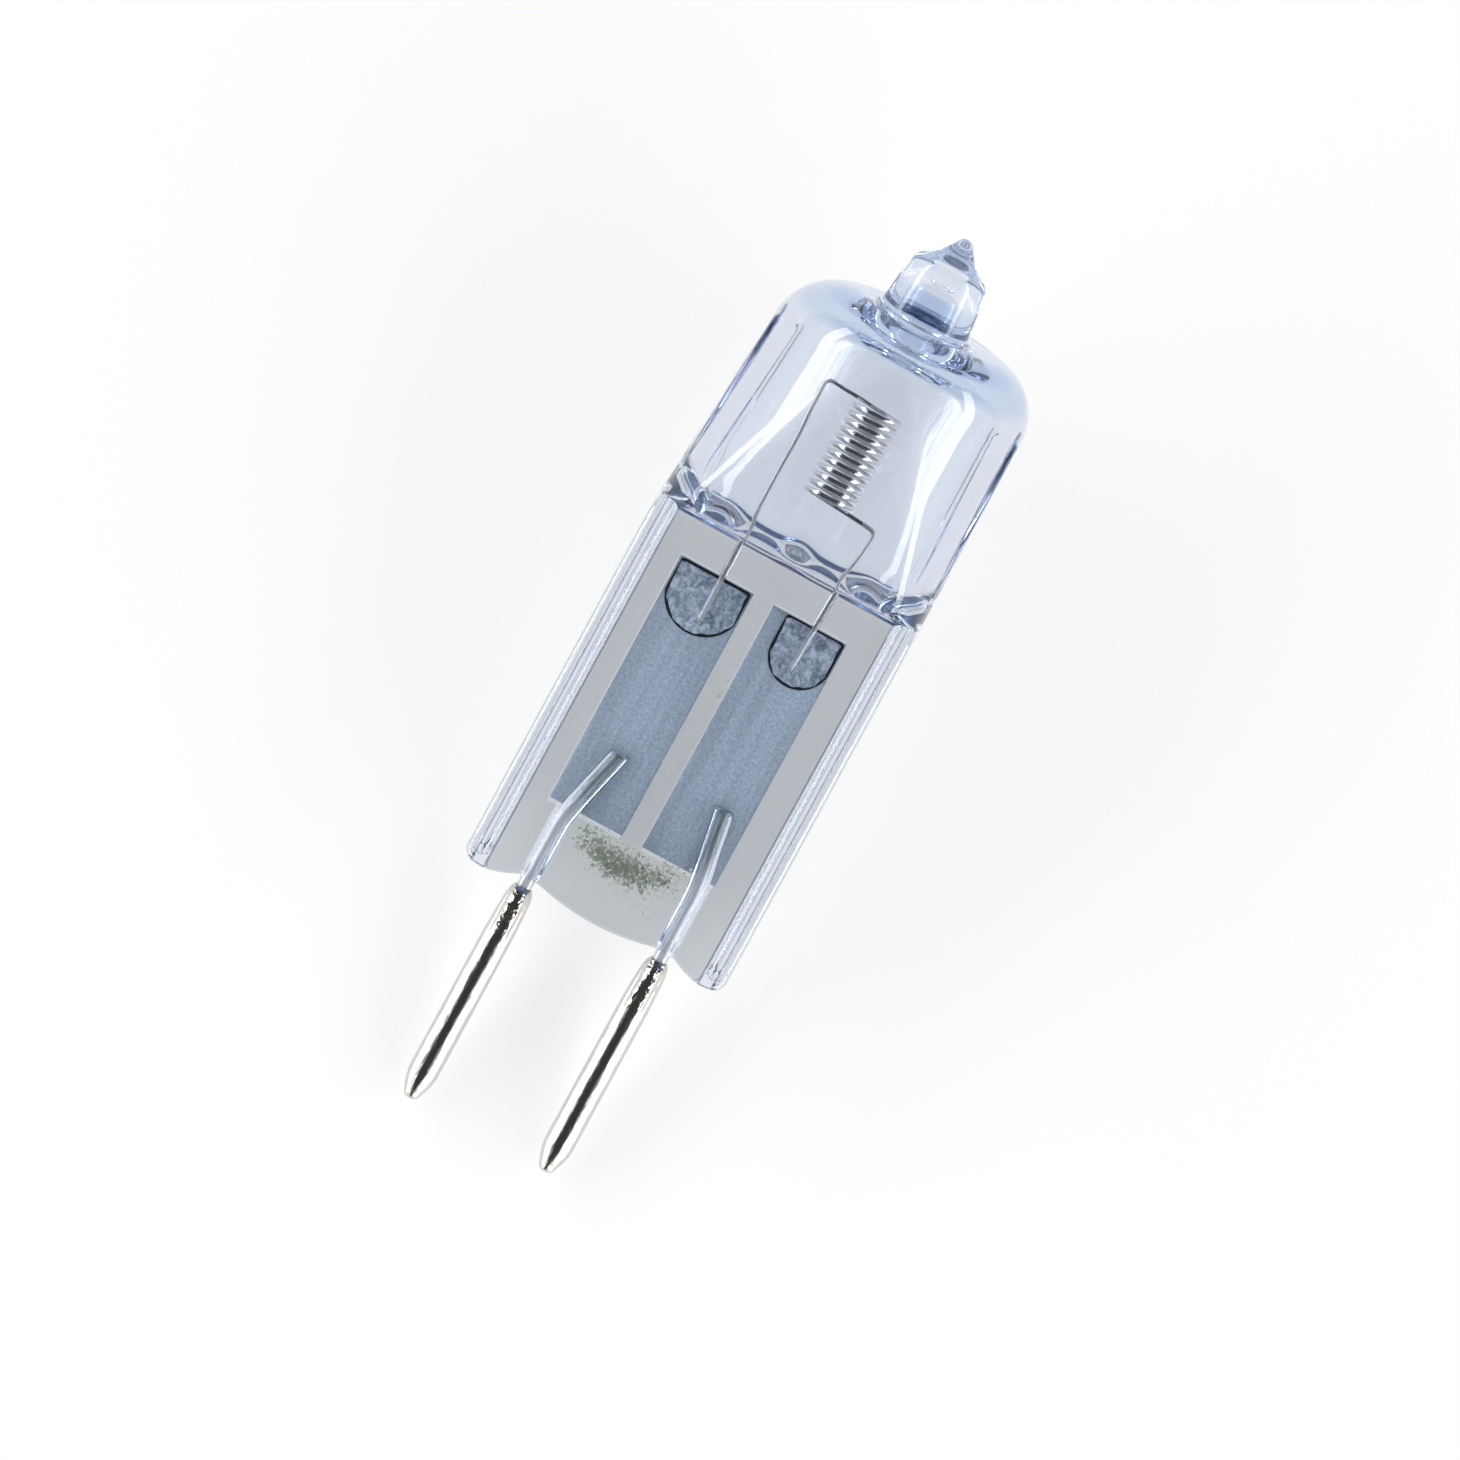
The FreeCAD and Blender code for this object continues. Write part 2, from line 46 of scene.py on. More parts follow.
# The lamp's own frame, in millimetres: X across the pinch, -Y the front, Z up the lamp,
# z = 0 at the pinch's lower edge. Both pins' shanks are centred at SHANK_MIDDLE_Z.
SHANK_MIDDLE_Z = -5.475
MM = 0.001
axis_up = -Vector(mounts[0]["axis"]).normalized()
axis_across = Vector((1, 0, 0))
axis_back = axis_up.cross(axis_across)
shank_middle = (Vector(mounts[0]["pos_m"]) + Vector(mounts[1]["pos_m"])) / 2
lamp_origin = shank_middle - axis_up * (SHANK_MIDDLE_Z * MM)
lamp_to_row = Matrix((axis_across, axis_back, axis_up)).transposed()

PIN_X = mounts[1]["pos_m"][0] / MM
PIN_RADIUS = mounts[0]["dims"]["r_mm"]

# Outside of the quartz
PINCH_HALF = 6.07
WEB_HALF = 1.35
WEB_TOP_Z = 16.87
WEB_FILLET = 0.50
PINCH_SIDE_ROUND = 0.35
PINCH_CORNER = 0.65
PINCH_EDGE_ROUND = 0.40
BEAD_X = 5.48
BEAD_RADIUS = 0.38
BEAD_LOW_Z = 0.45
BEAD_TAPER = 0.40
SEAM_INNER_X = 5.02
SEAM_OUTER_X = 5.62
SEAM_HALF = 0.045
SEAM_SOFT = 0.05
BEAD_SINK = 0.02
BEAD_BLEND = 0.06
FACE_BAND = 0.03
FRONT_SHARE = 0.6
BLEND_START_Z = 16.35
BLEND_HEIGHT = 0.90
TUBE_FOOT_Z = 16.60
TUBE_FOOT_RADIUS = 6.08
TUBE_TOP_RADIUS = 5.72
BULB_LEAN = math.radians(2.0)
SHOULDER_START_Z = 26.0
SHOULDER_START_DEPTH = 5.78
SHOULDER_FOOT_BEND = 1.87
SHOULDER_SOFTNESS = 1.2
SHOULDER_LEAST_SOFTNESS = 0.05
SHOULDER_FADE = 7
DOME_START_Z = 25.95
DOME_TOP_Z = 28.55
DOME_SHOULDER = 2.60
TIP_X = 0.15
TIP_BASE_RADIUS = 1.95
TIP_FLARE = 0.25
TIP_NECK_RADIUS = 1.80
TIP_NECK_Z = 30.30
TIP_WAIST_RADIUS = 1.02
TIP_WAIST_Z = 31.35
TIP_APEX_Z = 32.39

# Lower edge of the pinch
NOTCH_Z = 0.52
NOTCH_HALF_WIDTH = 0.46
MIDDLE_LOBE_Z = 0.15
SIDE_LOBE_Z = 0.02
SIDE_LOBE_WIDTH = 1.7
LOBE_FADE_Z = 3.0

# Inside of the quartz
WALL = 1.10
DOME_WALL = 1.20
CHAMBER_FLOOR_Z = 17.50
CHAMBER_FOOT_BEND = 3.02
CHAMBER_CORNER = 1.60
CHAMBER_LEAST_DEPTH = 0.05
FLOOR_LOBE_X = 3.45
FLOOR_LOBE_WIDTH = 0.95
FLOOR_LOBE_RISE = 0.44
FLOOR_MIDDLE_X = 0.10
FLOOR_MIDDLE_WIDTH = 0.60
FLOOR_MIDDLE_RISE = 0.28
FLOOR_SAG = 0.20
FLOOR_WAVE_FADE = 1.8
BORE_RADIUS = 1.25
BORE_END_Z = 30.45
MOUTH_BEAD_WIDTH = 0.50
MOUTH_BEAD_DROP = 0.42
MOUTH_BEAD_SKIRT = 0.62

# Wires, foils and tabs. LEGS_X and the foils give a middle and a half width, the tabs a middle and a width.
WIRE_RADIUS = 0.10
COIL_RADIUS = 1.02
COIL_BRIGHT_RADIUS = 1.03
COIL_DULL_RADIUS = 0.99
COIL_TURNS = 12
COIL_PITCH = 0.3475
COIL_X = 0.25
COIL_CENTRE_Z = 22.33
COIL_LEAN_BACK = math.radians(7.5)
COIL_LEAN_SIDE = math.radians(1.5)
LEG_LEFT = {"top_x": -2.27, "entry_x": -2.12, "low_x": -2.06}
LEG_RIGHT = {"top_x": 2.62, "entry_x": 2.36, "low_x": 2.16}
LEGS_X = (2.30, 0.40)
LEG_Y = 0.15
LEG_ENTRY_Z = 18.0
LEG_END_Z = 13.16
LEG_GAP = 0.05
LEG_BEND = 0.30
LEAD_RADIUS = 0.33
LEAD_GAP = 0.12
LEAD_SKIN = 0.04
LEAD_BEND_Z = 3.3
LEAD_BEND_SOFTNESS = 0.35
LEAD_TOP_Z = 6.75
LEAD_PALE_Z = (3.2, 5.4)
LEAD_LEFT_TOP_X = -2.32
LEAD_RIGHT_TOP_X = 2.60
FOIL_LOW_Z = 3.84
FOIL_LEFT = (-2.365, 1.685)
FOIL_RIGHT = (1.985, 1.685)
FOIL_FRONT_Y = 0.28
TAB_FRONT_Y = 0.23
TAB_HIGH_Z = 15.26
TAB_SIDE_LENGTH = 1.50
TAB_ROUND_DEPTH = 1.20
TAB_CORNER = 0.14
TAB_RIM = 0.10
TAB_RIM_STEP = 0.015
TAB_LEFT = (-2.32, 3.24)
TAB_RIGHT = (2.32, 2.70)

# Worn print. A patch has its middle x and z, its spread in x and z, how many flecks it has, and their
# least and greatest radius.
INK_THICKNESS = 0.01
INK_ARCH = 0.10
INK_PATCHES = (
    (-0.05, 2.75, 1.28, 0.30, 2300, 0.02, 0.10),
    (0.05, 3.20, 1.35, 0.26, 1200, 0.02, 0.08),
    (1.30, 1.70, 0.70, 0.40, 60, 0.02, 0.06),
    (-0.12, 6.80, 0.26, 2.20, 110, 0.02, 0.06),
    (-0.05, 10.6, 0.22, 1.10, 90, 0.02, 0.09),
)

# Contact pins
PIN_LOW_Z = -10.06
PIN_NOSE_Z = -8.95
PIN_END_RADIUS = 0.26
PIN_SHOULDER_Z = -2.0
PIN_MOUTH_RADIUS = 0.45
CRIMP_Z = -1.5
CRIMP_LENGTH = 1.8
CRIMP_DEPTH = 0.07
CRIMP_LEAST_RADIUS = 0.42
CRIMP_MARKS_Z = (-2.6, -1.8)
CRIMP_MARKS_TIMES = 7.0
JAW_EDGE_X = (0.26, 0.44)

# How finely the meshes are divided. A ring round the glass has four times QUARTER_STEPS points, and they
# stand closer together between FINE_FROM_X and FINE_TO_X, where the beads are.
QUARTER_STEPS = 84
BEND_ROWS = 22
GAP_SIDES = 28
COIL_STEPS = 40
LEG_BEND_STEPS = 8
PIN_SIDES = 96
INK_SIDES = 6
FINE_FROM_X = 4.90
FINE_FROM_FADE = 0.15
FINE_TO_X = 5.98
FINE_TO_FADE = 0.06
FINE_TIMES = 5

# Where the quartz's colour changes, each from a start to an end. DOME_TINT has a middle height, a half
# height and the softness of its edge.
CLEAR_BULB_Z = (16.6, 18.2)
RAIL_X = (4.90, 5.15)
FOOT_Z = (5.0, 1.0)
DOME_TINT = (28.5, 1.4, 0.8)

# Studio: how far to the side the world turns from dim to bright, how much farther bare metal sees it dim,
# and the levels of light
WORLD_EDGE_X = (0.60, 0.78)
WORLD_DIM = 0.05
WORLD_BRIGHT = 1.15
BARE_METAL_SHIFT = 0.09
THROUGH_LEVEL = 0.8
TRAPPED_LEVEL = 0.6
TABLE_GLOW = 0.79


def linear(hexa):
    # An sRGB hex colour as linear light
    made = []
    for place in (0, 2, 4):
        value = int(hexa[place:place + 2], 16) / 255
        made.append(value / 12.92 if value <= 0.04045 else ((value + 0.055) / 1.055) ** 2.4)
    return (*made, 1.0)


def to_row(points):
    # Points in the lamp's frame, in millimetres, moved to the scene's frame in metres
    turn = np.array(lamp_to_row)
    return np.asarray(points, float).reshape(-1, 3) @ turn.T * MM + np.array(lamp_origin)


def mesh_piece(name, points, faces, material, stands_for=(), smooth=True):
    # A mesh made from points in the lamp's frame, on the lamp's one body
    mesh = bpy.data.meshes.new(name)
    mesh.from_pydata(to_row(points).tolist(), [], faces)
    mesh.validate()
    mesh.polygons.foreach_set("use_smooth", [smooth] * len(mesh.polygons))
    mesh.materials.append(material)
    piece = bpy.data.objects.new(name, mesh)
    bpy.context.scene.collection.objects.link(piece)
    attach(piece, "root")
    if stands_for:
        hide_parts(*stands_for)
    return piece


def soft_least(a, b, width):
    # The lesser of two heights, rounded where they cross
    near = np.maximum(width - np.abs(a - b), 0)
    return np.minimum(a, b) - near ** 2 / (4 * width)


def soft_most(a, b, width):
    # The greater of two heights, rounded where they cross
    return -soft_least(-a, -b, width)


def ease(value):
    # A smooth step from nought to one
    value = np.clip(value, 0, 1)
    return value * value * (3 - 2 * value)


def spread(quarter):
    # The same number of points along every quarter outline, closer together over the beads
    at_full_width = quarter[1:, 0] * (PINCH_HALF / quarter[:, 0].max())
    begun = ease((at_full_width - FINE_FROM_X) / FINE_FROM_FADE)
    ended = ease((at_full_width - FINE_TO_X) / FINE_TO_FADE)
    steps = np.hypot(*np.diff(quarter, axis=0).T) * (1 + FINE_TIMES * begun * (1 - ended))
    along = np.concatenate([[0], np.cumsum(steps)])
    at = np.linspace(0, along[-1], QUARTER_STEPS + 1)
    return np.stack([np.interp(at, along, quarter[:, 0]), np.interp(at, along, quarter[:, 1])], 1)


def whole_ring(quarter):
    # Front centre, right side, back centre, left side
    x, y = quarter[:, 0], quarter[:, 1]
    return np.concatenate([
        np.stack([x, -y], 1),
        np.stack([x[-2::-1], y[-2::-1]], 1),
        np.stack([-x[1:], y[1:]], 1),
        np.stack([-x[-2:0:-1], -y[-2:0:-1]], 1),
    ])


def round_quarter(radius, depth=None, softness=None):
    # A round tube, pressed flat at a given depth
    turn = np.linspace(0, math.pi / 2, 400)
    x = radius * np.sin(turn)
    y = radius * np.cos(turn)
    if depth is not None:
        y = soft_least(y, np.full_like(y, depth), min(softness, depth))
        y = np.maximum(y, 0) * (radius - x > 1e-9)
    return x, y


def bead_height(x, z):
    # Round beads along the long edges of the pinch
    fade = ease((z - BEAD_LOW_Z) / BEAD_TAPER)
    across = np.clip(1 - ((np.abs(x) - BEAD_X) / (BEAD_RADIUS * fade + 1e-9)) ** 2, 0, 1)
    return WEB_HALF - BEAD_SINK + (BEAD_RADIUS + BEAD_SINK) * fade * np.sqrt(across)


def flat_quarter(half_width, depth):
    # The flat web with its rounded side
    corner = min(PINCH_SIDE_ROUND, depth)
    turn = np.linspace(0, math.pi / 2, 24)
    x = np.concatenate([np.linspace(0, half_width - corner, 400), half_width - corner + corner * np.sin(turn),
                        np.full(20, half_width)])
    y = np.concatenate([np.full(400, depth), depth - corner + corner * np.cos(turn),
                        np.linspace(depth - corner, 0, 20)])
    return x, y


def lower_edge(x):
    # Three lobes with a notch at each lead wire
    across = np.abs(x)
    inner = PIN_X - NOTCH_HALF_WIDTH
    outer = PIN_X + NOTCH_HALF_WIDTH
    middle = MIDDLE_LOBE_Z + (NOTCH_Z - MIDDLE_LOBE_Z) * (across / inner) ** 2
    side = SIDE_LOBE_Z + (NOTCH_Z - SIDE_LOBE_Z) * np.clip(1 - (across - outer) / SIDE_LOBE_WIDTH, 0, 1) ** 2
    return np.where(across < inner, middle, np.where(across > outer, side, NOTCH_Z))


def bent_side(start_depth, start_z, tight, end_depth, end_z):
    # Depth and height along a tight bend and a long bend, from the low end upward
    across = end_depth - start_depth
    down = end_z + tight - start_z
    bend = (across ** 2 + down ** 2 - tight ** 2) / (2 * (-across - tight))
    long_centre = np.array([start_depth - bend, start_z])
    tight_centre = np.array([end_depth, end_z + tight])
    outward = tight_centre - long_centre
    turn = math.atan2(outward[1], outward[0])
    low = np.linspace(-math.pi / 2, turn, BEND_ROWS + 1)
    high = np.linspace(turn, 0, BEND_ROWS + 1)[1:]
    return np.concatenate([
        np.stack([tight_centre[0] + tight * np.cos(low), tight_centre[1] + tight * np.sin(low)], 1),
        np.stack([long_centre[0] + bend * np.cos(high), long_centre[1] + bend * np.sin(high)], 1),
    ])


def lean_at(z):
    # The bulb's axis leans to the right of the pinch
    return max(z - TUBE_FOOT_Z, 0) * math.tan(BULB_LEAN)


def tube_radius(z):
    # The tube narrows a little towards the dome
    share = np.clip((z - TUBE_FOOT_Z) / (DOME_START_Z - TUBE_FOOT_Z), 0, 1)
    return TUBE_FOOT_RADIUS + (TUBE_TOP_RADIUS - TUBE_FOOT_RADIUS) * share


def press_softness(z):
    # The pressed face runs softly into the round tube, and fades out under the dome
    return SHOULDER_LEAST_SOFTNESS + SHOULDER_SOFTNESS * float(ease((SHOULDER_START_Z - z) / SHOULDER_FADE))


def outline_quarter(z, radius, depth, flat_share, half_width, web_depth):
    # Blends the flat web into the round tube
    made = 0
    if flat_share > 0:
        x, y = flat_quarter(half_width, web_depth)
        if z > BEAD_LOW_Z:
            y = np.where(y >= web_depth - FACE_BAND, soft_most(y, bead_height(x, z), BEAD_BLEND), y)
        made = made + flat_share * spread(np.stack([x, y], 1))
    if flat_share < 1:
        x, y = round_quarter(radius, depth, press_softness(z))
        beads = bead_height(x, z)
        inside = np.abs(np.abs(x) - BEAD_X) < BEAD_RADIUS
        y = np.where(inside & (y > WEB_HALF * FRONT_SHARE), soft_most(y, beads, BEAD_BLEND), y)
        made = made + (1 - flat_share) * spread(np.stack([x, y], 1))
    return made


def stitched(rings):
    # Faces between rings of the same count
    count = len(rings[0])
    faces = []
    for row in range(len(rings) - 1):
        low = row * count
        for step in range(count):
            after = (step + 1) % count
            faces.append((low + step, low + after, low + count + after, low + count + step))
    return faces


def closing_strip():
    # Joins the front half of the first ring to its back half
    half = 2 * QUARTER_STEPS
    whole = 4 * QUARTER_STEPS
    faces = []
    for step in range(QUARTER_STEPS):
        faces.append((step + 1, step, half - step, half - step - 1))
        faces.append(((whole - step) % whole, whole - step - 1, half + step + 1, half + step))
    return faces


def rounded_in(full, corner, z):
    # A half width that a round corner draws in at the foot
    return full - corner + math.sqrt(corner ** 2 - max(corner - z, 0) ** 2)


def quartz_outside():
    # The pinch with its round lower corners, the fillet over the web, the pressed bulb, the dome and the tip
    rings = []
    corner_rows = PINCH_CORNER * (1 - np.cos(np.linspace(0, math.pi / 2, 15)))
    for z in np.concatenate([corner_rows, np.linspace(0.8, 3.2, 12), np.linspace(4.0, 16.2, 7)]):
        half_width = rounded_in(PINCH_HALF, PINCH_CORNER, z)
        web = rounded_in(WEB_HALF, PINCH_EDGE_ROUND, z)
        ring = whole_ring(outline_quarter(z, 0, 0, 1, half_width, web))
        height = z + lower_edge(ring[:, 0]) * (1 - ease(z / LOBE_FADE_Z))
        rings.append(np.column_stack([ring, height]))
    fillet = [(WEB_HALF, z) for z in np.linspace(BLEND_START_Z, WEB_TOP_Z, 7)]
    for turn in np.linspace(0, math.pi / 2, 9)[1:]:
        fillet.append((WEB_HALF + WEB_FILLET * (1 - math.cos(turn)), WEB_TOP_Z + WEB_FILLET * math.sin(turn)))
    bends = bent_side(SHOULDER_START_DEPTH, SHOULDER_START_Z, SHOULDER_FOOT_BEND, WEB_HALF + WEB_FILLET,
                      WEB_TOP_Z + WEB_FILLET)
    for depth, z in fillet + [tuple(pair) for pair in bends[1:]]:
        flat_share = 1 - float(ease((z - BLEND_START_Z) / BLEND_HEIGHT))
        web_depth = WEB_HALF if depth < WEB_HALF + 0.01 else depth
        ring = whole_ring(outline_quarter(z, tube_radius(z), depth, flat_share, PINCH_HALF, web_depth))
        ring[:, 0] += lean_at(z)
        rings.append(np.column_stack([ring, np.full(len(ring), z)]))
    rings += round_rings(dome_profile(), TIP_BASE_RADIUS + TIP_FLARE)
    return closed_over(rings, (TIP_X, 0, TIP_APEX_Z))


def round_rings(profile, tip_radius):
    # Round rings that follow the leaned bulb, and the upright tip from a given radius inward
    rings = []
    for radius, z in profile:
        x, y = round_quarter(radius)
        ring = whole_ring(spread(np.stack([x, y], 1)))
        ring[:, 0] += TIP_X if radius <= tip_radius + 1e-6 else lean_at(z)
        rings.append(np.column_stack([ring, np.full(len(ring), z)]))
    return rings


def closed_over(rings, apex_point):
    # Rings stitched together, with a strip across the low end and a fan to the apex
    points = np.concatenate(rings)
    faces = stitched(rings) + closing_strip()
    count = len(rings[0])
    apex = len(points)
    last = apex - count
    points = np.concatenate([points, [apex_point]])
    faces += [(last + step, last + (step + 1) % count, apex) for step in range(count)]
    return points, faces


def arc_rows(centre_radius, centre_z, radius, from_deg, to_deg, rows):
    # Radius and height along an arc
    turns = np.radians(np.linspace(from_deg, to_deg, rows + 1))
    return [(centre_radius + radius * math.cos(turn), centre_z + radius * math.sin(turn)) for turn in turns]


def smooth_rows(knots, rows):
    # A smooth line through a few radii and heights
    knots = np.array(knots, float)
    steps = np.hypot(*np.diff(knots, axis=0).T)
    along = np.concatenate([[0], np.cumsum(steps)])
    slopes = np.gradient(knots, along, axis=0)
    made = []
    for at in np.linspace(0, along[-1], rows + 1):
        index = min(int(np.searchsorted(along, at, "right")) - 1, len(knots) - 2)
        span = along[index + 1] - along[index]
        t = (at - along[index]) / span
        made.append(tuple(
            (2 * t ** 3 - 3 * t ** 2 + 1) * knots[index] + (t ** 3 - 2 * t ** 2 + t) * span * slopes[index]
            + (3 * t ** 2 - 2 * t ** 3) * knots[index + 1] + (t ** 3 - t ** 2) * span * slopes[index + 1]))
    return made


def dome_profile():
    # Radius and height from the tube's top over the dome and up the exhaust tip
    shoulder = TUBE_TOP_RADIUS - DOME_SHOULDER
    rows = arc_rows(shoulder, DOME_START_Z, DOME_SHOULDER, 4, 90, 20)
    foot = TIP_BASE_RADIUS + TIP_FLARE
    rows += arc_rows(foot, DOME_TOP_Z + TIP_FLARE, TIP_FLARE, -90, -180, 8)
    rows += smooth_rows([(TIP_BASE_RADIUS, DOME_TOP_Z + TIP_FLARE), (TIP_NECK_RADIUS + 0.03, 29.8),
                         (TIP_NECK_RADIUS - 0.02, TIP_NECK_Z), (1.52, 31.0), (TIP_WAIST_RADIUS, TIP_WAIST_Z),
                         (0.66, 31.72), (0.36, 32.12)], 30)[1:]
    rows += [(0.27, 32.27), (0.16, 32.36)]
    return rows


def floor_wave(x, z):
    # The chamber's floor swells outside each leg and in the middle, as the press left it
    fade = 1 - ease((z - CHAMBER_FLOOR_Z) / FLOOR_WAVE_FADE)
    lobes = np.exp(-((np.abs(x) - FLOOR_LOBE_X) / FLOOR_LOBE_WIDTH) ** 2)
    middle = np.exp(-((x - FLOOR_MIDDLE_X) / FLOOR_MIDDLE_WIDTH) ** 2)
    return fade * (FLOOR_LOBE_RISE * lobes + FLOOR_MIDDLE_RISE * middle - FLOOR_SAG)


def chamber_surface():
    # The hollow that holds the coil, closed at the foot and at the end of the tip's bore
    rings = []
    bends = bent_side(SHOULDER_START_DEPTH - WALL, SHOULDER_START_Z, CHAMBER_FOOT_BEND, 0.0, CHAMBER_FLOOR_Z)
    for depth, z in bends[1:]:
        if z >= DOME_START_Z:
            break
        radius = tube_radius(z) - WALL
        lift = min((z - CHAMBER_FLOOR_Z) / CHAMBER_CORNER, 1)
        narrow = CHAMBER_CORNER * (1 - math.sqrt(1 - (1 - lift) ** 2))
        x, y = round_quarter(radius - narrow, max(depth, CHAMBER_LEAST_DEPTH), press_softness(z))
        ring = whole_ring(spread(np.stack([x, y], 1)))
        height = z + floor_wave(ring[:, 0], z)
        ring[:, 0] += lean_at(z)
        rings.append(np.column_stack([ring, height]))
    rings += round_rings(chamber_profile(), BORE_RADIUS + MOUTH_BEAD_WIDTH + MOUTH_BEAD_SKIRT)
    points, faces = closed_over(rings, (TIP_X, 0, BORE_END_Z))
    return points, [face[::-1] for face in faces]


def chamber_profile():
    # Inside of the dome, the bead at the mouth of the bore, and the bore
    top_z = DOME_TOP_Z - DOME_WALL
    shoulder = top_z - DOME_START_Z
    flat = TUBE_TOP_RADIUS - WALL - shoulder
    rows = arc_rows(flat, DOME_START_Z, shoulder, 0, 90, 12)
    bead = BORE_RADIUS + MOUTH_BEAD_WIDTH
    rows += smooth_rows([(bead + MOUTH_BEAD_SKIRT, top_z), (bead + 0.25, top_z - 0.16),
                         (bead, top_z - MOUTH_BEAD_DROP), (bead - 0.28, top_z - 0.34), (BORE_RADIUS, top_z),
                         (BORE_RADIUS - 0.03, top_z + 0.6), (BORE_RADIUS - 0.02, 29.4), (1.12, 29.95),
                         (0.75, 30.3), (0.3, BORE_END_Z - 0.02)], 44)
    return rows


def hollow_round_wire(route, radius, cut_y, cut_above):
    # A narrow gap in the glass along a wire, flat where a foil or tab closes it
    count = GAP_SIDES
    turn = np.linspace(0, 2 * math.pi, count, endpoint=False)
    rings = []
    for x, y, z in route:
        depth = y + radius * np.sin(turn)
        if z >= cut_above:
            depth = np.minimum(depth, cut_y)
        rings.append(np.column_stack([x + radius * np.cos(turn), depth, np.full(count, z)]))
    points = np.concatenate(rings)
    faces = stitched(rings)
    low, high = len(points), len(points) + 1
    ends = [np.mean(rings[0], axis=0), np.mean(rings[-1], axis=0)]
    points = np.concatenate([points, ends])
    last = (len(rings) - 1) * count
    for step in range(count):
        after = (step + 1) % count
        faces.append((after, step, low))
        faces.append((last + step, last + after, high))
    return points, [face[::-1] for face in faces]


def lead_route(top_x, low_x, low_z, high_z):
    # Straight up from the pin, then leaning to the foil, with a gentle bend
    made = []
    for z in np.linspace(low_z, high_z, 24):
        lean = (top_x - low_x) / (LEAD_TOP_Z - LEAD_BEND_Z)
        over = z - LEAD_BEND_Z
        made.append((low_x + lean * (over + math.hypot(over, LEAD_BEND_SOFTNESS)) / 2, 0.0, z))
    return made


def joined(parts):
    # Several closed surfaces as one mesh
    points = []
    faces = []
    for more, shapes in parts:
        first = sum(len(chunk) for chunk in points)
        points.append(more)
        faces += [tuple(first + corner for corner in shape) for shape in shapes]
    return np.concatenate(points), faces


def quartz_envelope(material):
    # The outside, the chamber, and the narrow gaps round the leads and the legs
    parts = [quartz_outside(), chamber_surface()]
    for top_x, low_x in ((LEAD_LEFT_TOP_X, -PIN_X), (LEAD_RIGHT_TOP_X, PIN_X)):
        route = lead_route(top_x, low_x, NOTCH_Z + LEAD_SKIN, LEAD_TOP_Z + LEAD_GAP)
        parts.append(hollow_round_wire(route, LEAD_RADIUS + LEAD_GAP, FOIL_FRONT_Y, FOIL_LOW_Z))
    for leg in (LEG_LEFT, LEG_RIGHT):
        mouth_z = CHAMBER_FLOOR_Z + float(floor_wave(leg["entry_x"], CHAMBER_FLOOR_Z))
        share = np.linspace(0, (mouth_z - LEG_END_Z) / (LEG_ENTRY_Z - LEG_END_Z) - 0.01, 12)
        route = [(leg["low_x"] + (leg["entry_x"] - leg["low_x"]) * s, LEG_Y,
                  LEG_END_Z - LEG_GAP + (LEG_ENTRY_Z - LEG_END_Z) * s) for s in share]
        parts.append(hollow_round_wire(route, WIRE_RADIUS + LEG_GAP, TAB_FRONT_Y, 0))
    points, faces = joined(parts)
    piece = mesh_piece("quartz_envelope", points, faces, material, ["envelope"])


def filament_route():
    # The coil and its two legs as one line of points
    lean = Matrix.Rotation(COIL_LEAN_SIDE, 3, "Y") @ Matrix.Rotation(-COIL_LEAN_BACK, 3, "X")
    centre = Vector((COIL_X, 0, COIL_CENTRE_Z))
    coil = []
    for step in range(COIL_TURNS * COIL_STEPS + 1):
        turns = step / COIL_STEPS
        angle = math.radians(90 + 360 * turns)
        height = (turns - COIL_TURNS / 2) * COIL_PITCH
        coil.append(centre + lean @ Vector((COIL_RADIUS * math.cos(angle), COIL_RADIUS * math.sin(angle), height)))
    slope = COIL_PITCH / (2 * math.pi * COIL_RADIUS)
    outward = lean @ Vector((-1, 0, slope)).normalized()
    left = leg_route(coil[-1], outward, **LEG_LEFT)
    right = leg_route(coil[0], -outward, **LEG_RIGHT)
    return right[::-1] + coil + left


def leg_route(coil_end, outward, top_x, entry_x, low_x):
    # From the coil's end straight out to the side, round a bend, and down to the weld
    corner = coil_end + outward * ((top_x - coil_end.x) / outward.x)
    entry = Vector((entry_x, LEG_Y, LEG_ENTRY_Z))
    back = (coil_end - corner).normalized()
    ahead = (entry - corner).normalized()
    half_angle = back.angle(ahead) / 2
    inward = (back + ahead).normalized()
    centre = corner + inward * (LEG_BEND / math.sin(half_angle))
    across = (back - ahead).normalized()
    sweep = math.pi / 2 - half_angle
    bend = []
    for step in range(LEG_BEND_STEPS + 1):
        turn = sweep * (1 - 2 * step / LEG_BEND_STEPS)
        bend.append(centre + across * (LEG_BEND * math.sin(turn)) - inward * (LEG_BEND * math.cos(turn)))
    return bend + [entry, Vector((low_x, LEG_Y, LEG_END_Z))]


def tungsten_filament(material):
    # One round wire along the whole route
    route = to_row([tuple(point) for point in filament_route()])
    line = bpy.data.curves.new("filament_wire", "CURVE")
    line.dimensions = "3D"
    line.bevel_depth = WIRE_RADIUS * MM
    line.bevel_resolution = 4
    line.use_fill_caps = True
    spline = line.splines.new("POLY")
    spline.points.add(len(route) - 1)
    for point, place in zip(spline.points, route):
        point.co = (*place, 1)
    spline.use_smooth = True
    line.materials.append(material)
    piece = bpy.data.objects.new("filament_wire", line)
    bpy.context.scene.collection.objects.link(piece)
    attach(piece, "root")
    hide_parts("filament")


